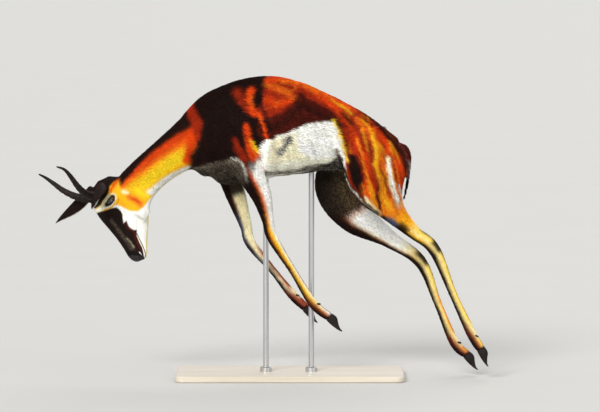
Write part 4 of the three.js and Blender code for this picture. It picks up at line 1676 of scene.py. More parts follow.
        centre = columns(0 * side + HEAD.eye[0], 0 * side + HEAD.eye[1], HEAD.eye[2] * side)
        off = local - centre
        far = np.linalg.norm(off, axis=1)
        mirrored = off * columns(0 * side + 1, 0 * side + 1, side)
        share = LIDS.share(mirrored)
        target = LIDS.under + (LIDS.rim - LIDS.under) * ease(0.93, 1.04, share)
        target += 1.3 * bell(share - 1.3, 0.16)
        hold = fall(1.3, 2.05, share) * ease(1, 7, mirrored[:, 2]) * near_head
        local = centre + off * (1 + hold * (target / np.maximum(far, 1e-6) - 1))[:, None]
        move_points(mesh, np.where(near_head[:, None], HEAD.world(local), points))

    def measured(self, mesh: Mesh) -> Marked:
        """The skin's points with their region, place and turn.

        Args:
            mesh: The skin's mesh.

        Returns:
            The points.
        """
        points = points_of(mesh)
        place, turn, ratio = self.ratios(points)
        local = HEAD.local(points)
        ratio[Region.HEAD] *= np.interp(local[:, 0], [4, 14, 44, 60], [1.0, 0.8, 0.8, 0.5])
        order = ratio.argmin(axis=0)
        row = np.arange(len(points))
        return Marked(points, normals_of(mesh), order, place[order, row], turn[order, row])

    def lie(self) -> Array:
        """The way that the hair lies, for each point.

        Returns:
            Directions along the surface.
        """
        marked = self.marked
        lie = np.tile([1.0, 0.0, -0.28], (len(marked.points), 1))
        for chain in (NECK, TAIL, *LEGS):
            here = marked.of(chain.region)
            _, t, _, up = chain.frames(marked.place[here])
            if chain is NECK:
                lie[here] = -t - 0.35 * up
            elif chain is TAIL:
                lie[here] = t
            else:
                down = ease(0.5, 2.4, marked.place[here])[:, None]
                lie[here] = t * down + np.array([0.8, 0, -0.6]) * (1 - down)
        head = marked.of(Region.HEAD)
        local = HEAD.local(marked.points[head])
        back = -HEAD.axes[0] + HEAD.axes[2] * (0.25 * np.sign(local[:, 2]))[:, None] - 0.25 * HEAD.axes[1]
        lie[head] = back
        lie = self.web.blur(unit(lie), 10)
        normals = marked.normals
        return unit(lie - normals * (lie * normals).sum(axis=1)[:, None])

    def cover(self) -> tuple[Array, Array, Array]:
        """How thick and long the coat is at each point, and how bare the skin is.

        Returns:
            The three, each from 0 to 1.
        """
        marked = self.marked
        length = np.ones(len(marked.points))
        for leg in LEGS:
            here = marked.of(leg.region)
            length[here] = np.interp(marked.place[here], [0, 2, 3.5, 5, 8], [1, 1, 0.8, 0.6, 0.5])
        neck = marked.of(Region.NECK)
        length[neck] = np.interp(marked.place[neck], [0, 3, 6], [1, 0.9, 0.7])
        head = marked.of(Region.HEAD)
        local = HEAD.local(marked.points)
        reach, height, out = local[:, 0], local[:, 1], np.abs(local[:, 2])
        length[head] = np.interp(reach[head], [0, 40, 110, 200, 257], [0.62, 0.46, 0.34, 0.26, 0.2])
        length[marked.of(Region.TAIL)] = 0.5
        bare = np.zeros(len(length))
        off = columns(reach, height, out) - np.array(HEAD.eye)
        share = LIDS.share(off)
        bare[head] = (fall(1.02, 1.12, share) * (off[:, 2] > 0))[head]
        nose_line = np.interp(reach, [232, 240, 250, 257], [16, 4, -13, -16])
        nose = ease(-1, 2, height - nose_line) * (reach > 230) * (out < 22)
        mouth = HEAD.mouth(reach)
        lip = fall(1.0, 2.2, np.abs(height - mouth)) * (reach > 176)
        bare[head] = np.maximum(bare, np.maximum(nose, lip))[head]
        foot = np.zeros(len(length))
        for leg in LEGS:
            here = marked.of(leg.region)
            foot[here] = ease(7.82, 7.98, marked.place[here])
        bare = np.maximum(bare, foot)
        return 1 - bare, self.web.blur(length, 6), bare

    def dress(self, mesh: Mesh) -> None:
        """Stores the coat's colours, lie, thickness and unwrap on the skin.

        Args:
            mesh: The skin's mesh.
        """
        marked = self.marked
        cover, length, bare = self.cover()
        markings = Markings(marked)
        colours = markings.colours(self.web.blur)
        store(
            mesh,
            coat_colour=opaque(colours),
            # Where the painted shade and sheen take black flecks
            mottle=markings.mottle,
            coat_cover=cover,
            coat_length=length,
            bare=bare,
            lie=self.lie(),
        )
        corners = read(mesh.loops, "vertex_index")
        starts, sizes = (read(mesh.polygons, name) for name in ("loop_start", "loop_total"))
        face = np.repeat(np.arange(len(starts)), sizes)
        region = marked.region[corners[starts]]
        self.unwrap(mesh, corners, face, region)
        on_right = marked.points[corners[starts], 1] > 0
        zone = np.where((region == Region.TRUNK) & on_right, len(Region), region)
        store(mesh, zone=zone.astype(np.int32))

    def unwrap(self, mesh: Mesh, corners: Array, face: Array, region: Array) -> None:
        """Stores each corner's place on the unwrap, and its distance along and round for the grain.

        Args:
            mesh: The skin's mesh.
            corners: Point of each face corner.
            face: Face of each corner.
            region: Region of each face.
        """
        marked = self.marked
        run, turn = np.zeros(len(corners)), np.zeros(len(corners))
        size = np.ones(len(corners))
        points = marked.points[corners]
        for part in (TRUNK, NECK, HEAD, TAIL, *LEGS):
            here = region[face] == part.region
            place, around, _ = part.measure(points[here])
            if isinstance(part, Head):
                run[here], size[here] = place * MM, 0.045
            else:
                run[here] = part.arc(place)
                size[here] = part.frames(place)[0][:, 3:6].mean(axis=1)
            turn[here] = around
        first = np.concatenate([[0], np.flatnonzero(np.diff(face)) + 1])
        start_turn = turn[first][face]
        jump = start_turn - turn
        turn += 2 * np.pi * ((jump > np.pi).astype(int) - (jump < -np.pi).astype(int))
        cell = region[face]
        u = (cell % 4) * 0.25 + 0.125 + turn / (2 * np.pi) * 0.2
        v = (cell // 4) * 0.5 + 0.04 + np.clip(run, 0, 0.9) * 0.46
        store(mesh, root_uv=columns(u, v, 0), grain=columns(run, turn * size, 0.37 * cell))


# Node trees


class Sock:
    """An output socket that takes part in Python expressions as Math nodes."""

    def __init__(self, graph: Graph, socket: NodeSocket) -> None:
        """Keeps the graph and the socket.

        Args:
            graph: Graph that the socket is in.
            socket: The output socket.
        """
        self.graph, self.socket = graph, socket

    def beside(self, name: str) -> Sock:
        """Another output of the same node."""
        return Sock(self.graph, self.socket.node.outputs[name])

    def _math(self, operation: str, *values: Sock | float) -> Sock:
        """One Math node of the values."""
        return self.graph.node("ShaderNodeMath", {"operation": operation}, dict(enumerate(values)))

    def __add__(self, other: Sock | float) -> Sock:
        """Sum."""
        return self._math("ADD", self, other)

    __radd__ = __add__

    def __mul__(self, other: Sock | float) -> Sock:
        """Product."""
        return self._math("MULTIPLY", self, other)

    __rmul__ = __mul__

    def __sub__(self, other: Sock | float) -> Sock:
        """Difference."""
        return self._math("SUBTRACT", self, other)

    def __rsub__(self, other: Sock | float) -> Sock:
        """Difference the other way round."""
        return self._math("SUBTRACT", other, self)

    def __truediv__(self, other: Sock | float) -> Sock:
        """Quotient."""
        return self._math("DIVIDE", self, other)

    def __pow__(self, other: Sock | float) -> Sock:
        """Power."""
        return self._math("POWER", self, other)

    def clamped(self) -> Sock:
        """The value held from 0 to 1."""
        return self.graph.node("ShaderNodeClamp", {}, {0: self})


def live(sockets: Sequence[NodeSocket], key: str | int) -> NodeSocket:
    """A node's socket by its number, or the first one of a name that is in use.

    Args:
        sockets: The node's inputs or outputs.
        key: Number or name.

    Returns:
        The socket.
    """
    if isinstance(key, int):
        return sockets[key]
    return next(s for s in sockets if s.name == key and s.enabled)


class Graph:
    """A tree of nodes, with the one way that nodes are made in it."""

    def __init__(self, tree: NodeTree) -> None:
        """Keeps the tree.

        Args:
            tree: The tree.
        """
        self.tree = tree

    def node(self, kind: str, settings: dict, values: dict, output: str | int = 0) -> Sock:
        """Makes a node.

        Args:
            kind: The node's type.
            settings: Its settings, set before the sockets.
            values: Value, or Sock to link, of each input by name or number.
            output: Which output to return.

        Returns:
            The output.
        """
        made = self.tree.nodes.new(kind)
        for key, value in settings.items():
            setattr(made, key, value)
        for key, value in values.items():
            at = live(made.inputs, key)
            if isinstance(value, Sock):
                self.tree.links.new(value.socket, at)
            else:
                at.default_value = (*value, 1) if at.type == "RGBA" else value
        return Sock(self, live(made.outputs, output))


class Paint(Graph):
    """A material and the nodes in it."""

    def __init__(self, name: str) -> None:
        """Makes an empty material.

        Args:
            name: The material's name.
        """
        self.material = bpy.data.materials.new(name)
        self.material.use_nodes = True
        super().__init__(self.material.node_tree)
        self.tree.nodes.clear()

    def place(self) -> Sock:
        """Places on the object."""
        return self.node("ShaderNodeTexCoord", {}, {}, "Object")

    def attribute(self, name: str, output: str = "Fac") -> Sock:
        """A mesh attribute."""
        return self.node("ShaderNodeAttribute", {"attribute_name": name}, {}, output)

    def mix(
        self, factor: Sock | float, first: Sock | Colour, second: Sock | Colour, blend: str = "MIX"
    ) -> Sock:
        """Two colours mixed.

        Args:
            factor: How much of the second.
            first: The first colour.
            second: The second colour.
            blend: How they are put together.

        Returns:
            The mixture.
        """
        settings = {"data_type": "RGBA", "blend_type": blend}
        return self.node("ShaderNodeMix", settings, {0: factor, 6: first, 7: second}, 2)

    def lit(self, colour: Sock, light: Sock) -> Sock:
        """A colour made darker or brighter."""
        tone = self.node("ShaderNodeCombineColor", {}, {0: light, 1: light, 2: light}, "Color")
        return self.mix(1.0, colour, tone, "MULTIPLY")

    def stretched(self, vector: Sock, scale: Point) -> Sock:
        """A vector with each axis scaled."""
        return self.node("ShaderNodeVectorMath", {"operation": "MULTIPLY"}, {0: vector, 1: scale}, "Vector")

    def noise(self, vector: Sock, scale: float, detail: float = 3.0, roughness: float = 0.55) -> Sock:
        """Noise of 0 to 1."""
        values = {"Vector": vector, "Scale": scale, "Detail": detail, "Roughness": roughness}
        return self.node("ShaderNodeTexNoise", {}, values, "Fac")

    def ramp(self, factor: Sock, *stops: tuple[float, Colour]) -> Sock:
        """A factor as a colour.

        Args:
            factor: Place on the ramp.
            stops: Place and colour of its two ends.

        Returns:
            The colour.
        """
        made = self.node("ShaderNodeValToRGB", {}, {0: factor}, "Color")
        for element, (place, colour) in zip(made.socket.node.color_ramp.elements, stops):
            element.position, element.color = place, (*colour, 1)
        return made

    def step(self, value: Sock, low: float, high: float) -> Sock:
        """A smooth rise from 0 at low to 1 at high."""
        values = {"Value": value, "From Min": low, "From Max": high}
        return self.node("ShaderNodeMapRange", {"interpolation_type": "SMOOTHSTEP"}, values, "Result")

    def bump(self, height: Sock, strength: float, depth: float) -> Sock:
        """A normal from a height."""
        values = {"Height": height, "Strength": strength, "Distance": depth}
        return self.node("ShaderNodeBump", {}, values, "Normal")

    def surface(self, **values: Sock | float | Colour) -> Material:
        """Ends the graph in a Principled shader.

        Args:
            values: Its sockets, with an underscore for a space.

        Returns:
            The material.
        """
        named = {key.replace("_", " "): value for key, value in values.items()}
        shader = self.node("ShaderNodeBsdfPrincipled", {}, named, "BSDF")
        out = self.tree.nodes.new("ShaderNodeOutputMaterial")
        self.tree.links.new(shader.socket, out.inputs["Surface"])
        return self.material


@dataclass(frozen=True)
class CoatFinish:
    """Hair seen as one surface or as single tufts, coloured by the markings."""

    name: str
    rough: float = 0.5
    strand: float = 0.5
    depth: float = 1.2 * MM
    tufts: bool = False

    def material(self) -> Material:
        """The finish as a material.

        Returns:
            The material.
        """
        graph = Paint(self.name)
        colour = graph.attribute("coat_colour", "Color")
        place = graph.place()
        patchy = graph.noise(place, 28, 3)
        # Black flecks in the painted shade and sheen
        fleck = graph.step(graph.noise(place, 240, 2), 0.44, 0.58) * graph.attribute("mottle")
        colour = graph.mix(0.85 * fleck, colour, Hue.BLACK.value)
        if self.tufts:
            shade = graph.attribute("shade")
            tip = graph.attribute("tip")
            light = (0.66 + 0.34 * shade + 0.3 * tip) * (0.86 + 0.28 * patchy)
            fine = graph.noise(place, 900, 2)
            return graph.surface(
                Base_Color=graph.lit(colour, light),
                Roughness=self.rough + 0.2 * fine,
                Normal=graph.bump(fine, 0.25, 0.4 * MM),
                Specular_IOR_Level=0.08,
            )
        grain = graph.attribute("grain", "Vector")
        strands = graph.noise(graph.stretched(grain, (70, 900, 1)), 1, 3, 0.6)
        clumps = graph.noise(graph.stretched(grain, (30, 230, 1)), 1, 3, 0.6)
        bare = graph.attribute("bare")
        light = 0.52 + 0.5 * strands + 0.42 * clumps * (0.8 + 0.4 * patchy)
        pebble = graph.node("ShaderNodeTexVoronoi", {}, {"Vector": place, "Scale": 620.0}, "Distance")
        nose = graph.ramp(pebble, (0.0, (0.012, 0.010, 0.010)), (0.7, (0.03, 0.026, 0.025)))
        height = (strands + clumps) * (1 - bare) + 0.5 * pebble * bare
        return graph.surface(
            Base_Color=graph.mix(bare, graph.lit(colour, light), nose),
            Roughness=(self.rough + 0.25 * strands) * (1 - bare) + 0.36 * bare,
            Normal=graph.bump(height, self.strand, self.depth),
            Specular_IOR_Level=0.1,
        )


@dataclass(frozen=True)
class HornFinish:
    """Dark horn with lighter wear on its rings."""

    name: str
    base: Colour = (0.005, 0.0035, 0.003)
    worn: Colour = (0.03, 0.021, 0.015)
    rough: float = 0.46

    def material(self) -> Material:
        """The finish as a material.

        Returns:
            The material.
        """
        graph = Paint(self.name)
        run = graph.attribute("run", "Vector")
        place = graph.place()
        fibres = graph.noise(graph.stretched(run, (30, 1200, 1)), 1, 4)
        stain = graph.noise(place, 60, 4)
        wear = graph.attribute("wear")
        amount = (0.25 * fibres + 0.55 * wear * stain + 0.25 * stain).clamped()
        colour = graph.ramp(amount, (0.1, self.base), (0.75, self.worn))
        return graph.surface(
            Base_Color=colour,
            Roughness=self.rough + 0.3 * fibres,
            Normal=graph.bump(fibres + 0.5 * stain, 0.35, 0.8 * MM),
            Specular_IOR_Level=0.14,
        )


@dataclass(frozen=True)
class EyeFinish:
    """A dark wet eye with a long pupil."""

    name: str
    iris: Colour = (0.03, 0.016, 0.012)
    rim: Colour = (0.008, 0.009, 0.014)

    def material(self) -> Material:
        """The finish as a material.

        Returns:
            The material.
        """
        graph = Paint(self.name)
        gaze = graph.attribute("gaze", "Vector")
        u = graph.node("ShaderNodeSeparateXYZ", {}, {0: gaze}, "X")
        v = u.beside("Y")
        pupil = 1 - graph.step((u / 0.50) ** 2.0 + (v / 0.24) ** 2.0, 0.7, 1.1)
        ring = graph.step((u * u + v * v) ** 0.5, 0.62, 0.86)
        rays = graph.noise(graph.stretched(gaze, (14, 14, 1)), 1, 4)
        colour = graph.mix(rays, self.rim, self.iris)
        colour = graph.mix(ring, colour, self.rim)
        colour = graph.mix(pupil, colour, (0.003, 0.003, 0.004))
        return graph.surface(
            Base_Color=colour,
            Roughness=0.08 + 0.03 * rays,
            Specular_IOR_Level=0.7,
            Coat_Weight=0.9 + 0.1 * rays,
            Coat_Roughness=0.02,
        )


@dataclass(frozen=True)
class SkinFinish:
    """Bare dark skin of the lid rims, and soft lashes."""

    name: str
    colour: Colour = (0.014, 0.010, 0.009)
    rough: float = 0.38

    def material(self) -> Material:
        """The finish as a material.

        Returns:
            The material.
        """
        graph = Paint(self.name)
        place = graph.place()
        pores = graph.noise(place, 500, 3)
        light = tuple(2.4 * c for c in self.colour)
        return graph.surface(
            Base_Color=graph.mix(pores, self.colour, light),
            Roughness=self.rough + 0.2 * pores,
            Normal=graph.bump(pores, 0.3, 0.3 * MM),
        )


@dataclass(frozen=True)
class BaseFinish:
    """Pale lacquered wood with a fine grain along its length."""

    name: str
    light: Colour = srgb(214, 206, 192)
    dark: Colour = srgb(186, 174, 154)

    def material(self) -> Material:
        """The finish as a material.

        Returns:
            The material.
        """
        graph = Paint(self.name)
        place = graph.place()
        warp = graph.noise(graph.stretched(place, (3, 14, 14)), 1, 3)
        bands = graph.noise(graph.stretched(place, (2.2, 60, 40)), 1, 5, 0.6)
        pores = graph.noise(graph.stretched(place, (60, 1400, 900)), 1, 2)
        amount = (0.75 * bands + 0.35 * warp - 0.08 + 0.12 * pores).clamped()
        return graph.surface(
            Base_Color=graph.ramp(amount, (0.3, self.dark), (0.72, self.light)),
            Roughness=0.34 + 0.14 * bands,
            Normal=graph.bump(pores + 0.4 * bands, 0.12, 0.3 * MM),
            Coat_Weight=0.15 + 0.1 * bands,
            Coat_Roughness=0.2,
        )


@dataclass(frozen=True)
class SteelFinish:
    """Brushed steel of the rods."""

    name: str
    colour: Colour = (0.52, 0.52, 0.53)

    def material(self) -> Material:
        """The finish as a material.

        Returns:
            The material.
        """
        graph = Paint(self.name)
        place = graph.place()
        brushed = graph.noise(graph.stretched(place, (900, 900, 14)), 1, 3)
        smudge = graph.noise(place, 22, 3)
        light = tuple(1.15 * c for c in self.colour)
        return graph.surface(
            Base_Color=graph.mix(brushed, self.colour, light),
            Roughness=0.24 + 0.16 * brushed + 0.1 * smudge,
            Normal=graph.bump(brushed, 0.08, 0.2 * MM),
            Metallic=1.0,
        )


# Tufts, set by Geometry Nodes


class GeometryTree(Graph):
    """A Geometry Nodes tree with named inputs."""

    def __init__(self, name: str, inputs: dict[str, str]) -> None:
        """Makes the tree's ends.

        Args:
            name: The tree's name.
            inputs: Kind of each named input after the geometry.
        """
        super().__init__(bpy.data.node_groups.new(name, "GeometryNodeTree"))
        face = self.tree.interface
        face.new_socket("Geometry", in_out="INPUT", socket_type="NodeSocketGeometry")
        self.identifiers = {
            key: face.new_socket(key, in_out="INPUT", socket_type="NodeSocket" + kind).identifier
            for key, kind in inputs.items()
        }
        face.new_socket("Geometry", in_out="OUTPUT", socket_type="NodeSocketGeometry")
        self.entry = self.tree.nodes.new("NodeGroupInput")
        self.exit = self.tree.nodes.new("NodeGroupOutput")

    def given(self, name: str) -> Sock:
        """One of the tree's inputs."""
        return Sock(self, self.entry.outputs[name])

    def attribute(self, name: str, kind: str = "FLOAT") -> Sock:
        """A named attribute."""
        return self.node("GeometryNodeInputNamedAttribute", {"data_type": kind}, {"Name": name}, "Attribute")

    def random(self, low: float, high: float, draw: int) -> Sock:
        """A number drawn for each tuft.

        Args:
            low: Lowest number.
            high: Highest number.
            draw: Which draw it is, so that no two are alike.

        Returns:
            The number.
        """
        seed = self.given("Seed") + float(draw)
        values = {2: low, 3: high, "Seed": seed}
        return self.node("FunctionNodeRandomValue", {"data_type": "FLOAT"}, values, 1)

    def stored(self, geometry: Sock, name: str, kind: str, domain: str, value: Sock) -> Sock:
        """A geometry with one more attribute.

        Args:
            geometry: The geometry.
            name: The attribute's name.
            kind: Its data type.
            domain: What it is stored on.
            value: Its value.

        Returns:
            The geometry.
        """
        settings = {"data_type": kind, "domain": domain}
        values = {"Geometry": geometry, "Name": name, "Value": value}
        return self.node("GeometryNodeStoreNamedAttribute", settings, values)


def tuft_tree() -> GeometryTree:
    """The tree that sets one zone's tufts along the lie of the coat.

    Returns:
        The tree, whose lengths are in metres and angles in radians.
    """
    sizes = dict.fromkeys(("Spacing", "Length", "Width", "Lift", "Turn"), "Float")
    inputs = {"Tuft": "Object", "Finish": "Material", "Zone": "Int", **sizes, "Seed": "Int"}
    tree = GeometryTree("coat_tufts", inputs)
    chosen = tree.node(
        "FunctionNodeCompare",
        {"data_type": "INT", "operation": "EQUAL"},
        {"A": tree.attribute("zone", "INT"), "B": tree.given("Zone")},
    )
    spread = tree.node(
        "GeometryNodeDistributePointsOnFaces",
        {"distribute_method": "POISSON"},
        {
            "Mesh": tree.given("Geometry"),
            "Selection": chosen,
            "Distance Min": tree.given("Spacing"),
            "Density Max": TUFT_DENSITY,
            "Density Factor": tree.attribute("coat_cover"),
            "Seed": tree.given("Seed"),
        },
        "Points",
    )
    upright = tree.node(
        "FunctionNodeAlignRotationToVector",
        {"axis": "Z"},
        {"Vector": spread.beside("Normal")},
    )
    laid = tree.node(
        "FunctionNodeAlignRotationToVector",
        {"axis": "X", "pivot_axis": "Z"},
        {"Rotation": upright, "Vector": tree.attribute("lie", "FLOAT_VECTOR")},
    )
    roll = tree.random(-0.25, 0.25, 1)
    lift = tree.given("Lift") * tree.random(-1.5, -0.55, 2)
    turn = tree.given("Turn") * tree.random(-1.0, 1.0, 3)
    nod = tree.node("ShaderNodeCombineXYZ", {}, {"X": roll, "Y": lift, "Z": turn})
    rotation = tree.node(
        "FunctionNodeRotateRotation",
        {"rotation_space": "LOCAL"},
        {"Rotation": laid, "Rotate By": tree.node("FunctionNodeEulerToRotation", {}, {"Euler": nod})},
    )
    long = tree.attribute("coat_length")
    width = tree.given("Width") * long**0.6
    size = tree.node(
        "ShaderNodeCombineXYZ",
        {},
        {
            "X": tree.given("Length") * long * tree.random(0.7, 1.25, 4),
            "Y": width * tree.random(0.75, 1.25, 5),
            "Z": width * TUFT_THICKNESS,
        },
    )
    tuft = tree.node(
        "GeometryNodeObjectInfo",
        {"transform_space": "ORIGINAL"},
        {"Object": tree.given("Tuft")},
        "Geometry",
    )
    placed = tree.node(
        "GeometryNodeInstanceOnPoints",
        {},
        {"Points": spread, "Instance": tuft, "Rotation": rotation, "Scale": size},
    )
    shaded = tree.stored(placed, "shade", "FLOAT", "INSTANCE", tree.random(0.0, 1.0, 6))
    real = tree.node("GeometryNodeRealizeInstances", {}, {"Geometry": shaded})
    patch = tree.node(
        "ShaderNodeVectorMath",
        {"operation": "SCALE"},
        {0: tree.attribute("patch", "FLOAT_VECTOR"), "Scale": BAKE_PATCH},
    )
    root = tree.attribute("root_uv", "FLOAT_VECTOR")
    place = tree.node("ShaderNodeVectorMath", {"operation": "ADD"}, {0: root, 1: patch})
    mapped = tree.stored(real, "OFBake", "FLOAT2", "CORNER", place)
    dressed = tree.node("GeometryNodeSetMaterial", {}, {"Geometry": mapped, "Material": tree.given("Finish")})
    tree.tree.links.new(dressed.socket, tree.exit.inputs["Geometry"])
    return tree


@dataclass(frozen=True)
class TuftPlan:
    """Sizes of one zone's tufts, in metres and degrees."""

    name: str
    zone: int
    slot: str
    spacing: float
    length: float
    width: float
    lift: float = 5.0
    turn: float = 11.0


@dataclass
class Coat:
    """The tufts of the whole coat, one piece to a zone."""

    finish: Material
    quick: bool = False
    tree: GeometryTree = field(default_factory=tuft_tree)
    tuft: Object | None = None

    def template(self) -> Object:
        """One tuft of length 1: a flat lock with a ridge, sunk at its root and drawn out to a point."""
        if self.tuft is None:
            points = [(0, -0.4, -0.5), (0, 0.4, -0.5), (0, 0, 0.2)]
            points += [(0.42, -0.5, 0.0), (0.42, 0.5, 0.0), (0.42, 0, 0.9), (1, 0, 0.2)]
            faces = [(0, 2, 1)]
            for a, b in ((0, 1), (1, 2), (2, 0)):
                faces += [(a, b, b + 3, a + 3), (a + 3, b + 3, 6)]
            self.tuft = new_object("tuft", np.array(points, float), faces)
            mesh = self.tuft.data
            co = points_of(mesh)
            store(mesh, tip=co[:, 0], patch=columns(co[:, 0] - 0.5, co[:, 1], 0))
        return self.tuft

    def grow(self, skin: Object, plan: TuftPlan, seed: int) -> Object:
        """Sets one zone's tufts.

        Args:
            skin: Object whose mesh carries the coat's attributes.
            plan: The tufts' sizes.
            seed: Seed for all that is random.

        Returns:
            The tufts as a plain mesh.
        """
        base = linked(plan.name + "_base", skin.data)
        modifier = base.modifiers.new("tufts", "NODES")
        modifier.node_group = self.tree.tree
        values = {
            "Tuft": self.template(),
            "Finish": self.finish,
            "Zone": plan.zone,
            "Spacing": plan.spacing * (QUICK_SPACING if self.quick else 1.0),
            "Length": plan.length,
            "Width": plan.width * (QUICK_WIDTH if self.quick else 1.0),
            "Lift": math.radians(plan.lift),
            "Turn": math.radians(plan.turn),
            "Seed": seed,
        }
        for key, value in values.items():
            modifier[self.tree.identifiers[key]] = value
        item = as_modified(base, plan.name)
        layers = item.data.attributes
        for name in ("lie", "root_uv", "coat_cover", "coat_length", "zone", "bare", "grain", "patch"):
            if name in layers:
                layers.remove(layers[name])
        return item


TUFT_PLANS = (
    TuftPlan("coat_trunk_left", Region.TRUNK, "body_coat", 2.65 * MM, 14 * MM, 1.9 * MM),
    TuftPlan("coat_trunk_right", len(Region), "body_coat", 2.65 * MM, 14 * MM, 1.9 * MM),
    TuftPlan("coat_neck", Region.NECK, "neck_coat", 2.1 * MM, 13 * MM, 1.6 * MM),
    TuftPlan("coat_head", Region.HEAD, "head_coat", 1.65 * MM, 13 * MM, 1.4 * MM, 5.0, 9.0),
    TuftPlan("coat_tail", Region.TAIL, "tail", 1.7 * MM, 16 * MM, 1.4 * MM, 7.0, 14.0),
    TuftPlan("coat_fore_left", Region.FORE_LEFT, "leg_coat", 2.2 * MM, 13 * MM, 1.7 * MM),
    TuftPlan("coat_fore_right", Region.FORE_RIGHT, "leg_coat", 2.2 * MM, 13 * MM, 1.7 * MM),
    TuftPlan("coat_hind_left", Region.HIND_LEFT, "leg_coat", 2.35 * MM, 13 * MM, 1.7 * MM),
    TuftPlan("coat_hind_right", Region.HIND_RIGHT, "leg_coat", 2.35 * MM, 13 * MM, 1.7 * MM),
)


# Eyes, horns, ears and hooves


@dataclass
class Eyes:
    """The two eyeballs and the dark rims of their lids."""

    radius: float = HEAD.eye_radius - 0.25
    rim_radius: float = 1.25
    stacks: int = 30
    sides: int = 44

    def ball(self, side: Side) -> Object:
        """One eyeball, with the place of each point on it kept for the pupil.

        Args:
            side: Which eye.

        Returns:
            The eyeball.
        """
        polar = np.pi * (np.arange(self.stacks) + 0.5) / self.stacks
        turn = turns(self.sides)
        bulge = 1 + 0.035 * bell(polar, 0.55)[:, None]
        u = bulge * np.sin(polar)[:, None] * np.cos(turn)[None]
        v = bulge * np.sin(polar)[:, None] * np.sin(turn)[None]
        out = bulge * np.cos(polar)[:, None] + 0 * turn[None]
        tilt = math.radians(LIDS.turn)
        reach, height = u * math.cos(tilt) - v * math.sin(tilt), u * math.sin(tilt) + v * math.cos(tilt)
        centre = np.array(HEAD.eye) * [1, 1, side]
        local = centre + self.radius * np.stack([reach, height, out * side], axis=2)
        points, faces = loft(HEAD.world(local))
        item = new_object(f"eye_{side.name.lower()}_ball", points, faces)
        store(item.data, gaze=np.concatenate([columns(u.ravel(), v.ravel(), 0), np.zeros((2, 3))]))
        return item

    def rims(self) -> Object:
        """The rolled dark rims of all four lids, which also carry the lashes' thickness and lie.

        Returns:
            The rims as one object.
        """
        count, round_ = 72, 8
        parts, cover, lie = [], [], []
        for side in Side:
            edge = LIDS.edge(count)
            ahead = np.roll(edge, -1, axis=0) - np.roll(edge, 1, axis=0)
            t, outward = unit(ahead), unit(edge)
            beside = np.cross(t, outward)
            turn = turns(round_)
            thick = self.rim_radius * (0.8 + 0.35 * (edge[:, 1:2] > 0))
            c, sine = np.cos(turn)[None, :, None], np.sin(turn)[None, :, None]
            ring = edge[:, None] + outward[:, None] * c * thick[..., None] * 0.8
            ring = ring + beside[:, None] * sine * thick[..., None]
            local = ring * [1, 1, side] + np.array(HEAD.eye) * [1, 1, side]
            faces = [
                (i * round_ + j, i * round_ + k, (i + 1) % count * round_ + k, (i + 1) % count * round_ + j)
                for i in range(count)
                for j, k in zip(range(round_), (*range(1, round_), 0))
            ]
            parts.append((HEAD.world(local.reshape(-1, 3)), faces))
            upper = ease(1.5, 4.5, edge[:, 1])[:, None] * (np.cos(turn) > 0.3)[None]
            cover.append(upper.ravel())
            away = np.array([0.25, 0.9, 0.5]) * [1, 1, side] @ HEAD.axes
            lie.append(np.tile(away, (count * round_, 1)))
        item = joined("lid_rims", parts)
        mesh = item.data
        loops = read(mesh.loops, "vertex_index")
        store(
            mesh,
            coat_cover=np.concatenate(cover),
            lie=np.concatenate(lie),
            coat_length=np.ones(len(mesh.vertices)),
            coat_colour=opaque(plain(Hue.BLACK, len(mesh.vertices))),
            zone=np.zeros(len(mesh.polygons), np.int32),
            root_uv=columns(0.1 + 0.8 * (loops // round_) / (count * 2), 0.3 + 0.05 * (loops % round_), 0),
        )
        return item


@dataclass
class Horns:
    """The two horns, ringed over their lower two thirds and smooth at the tip."""

    root: float = 12.5
    tip: float = 1.6
    rings: int = 9
    ring: float = 1.7
    ringed: float = 0.72
    steps: int = 190
    sides: int = 30

    def build(self, side: Side) -> Object:
        """One horn.

        Args:
            side: Which horn.

        Returns:
            The horn, with its wear and the run of its fibres stored on it.
        """
        rows = np.array(HORN_ROWS, float)
        u = np.linspace(0, 1, self.steps)
        line = along(rows, u * (len(rows) - 1)) * [1, 1, side]
        t = unit(np.gradient(line, axis=0))
        first = unit(np.array([1.0, 0, 0]) - t * t[:, :1])
        second = np.cross(t, first)
        fade = np.sqrt(np.maximum(0, 1 - u / self.ringed))
        wave = np.abs(np.sin(np.pi * self.rings * 1.4 * u)) ** 0.7 * fade
        turn = turns(self.sides)
        front = 0.75 + 0.35 * np.cos(turn)[None]
        taper = self.tip + (self.root - self.tip) * (1 - u) ** 0.8
        radius = taper[:, None] + self.ring * wave[:, None] * front
        radius = radius + 0.18 * np.sin(turn * 9)[None] * (1 - u)[:, None]
        radius[-3:] *= np.array([0.9, 0.7, 0.35])[:, None]
        way = first[:, None] * np.cos(turn)[None, :, None] + second[:, None] * np.sin(turn)[None, :, None]
        points, faces = loft(HEAD.world(line[:, None] + radius[..., None] * way))
        item = new_object(f"horn_{side.name.lower()}_ringed", points, faces)
        wear = np.clip((wave[:, None] * front).ravel(), 0, 1)
        reach, around = np.broadcast_arrays(u[:, None] * HORN_LENGTH, turn[None] * HORN_ROUND)
        run = np.concatenate([columns(reach.ravel(), around.ravel(), 0), [[0, 0, 0], [HORN_LENGTH, 0, 0]]])
        store(item.data, wear=np.concatenate([wear, [0, 0.4]]), run=run)
        return item


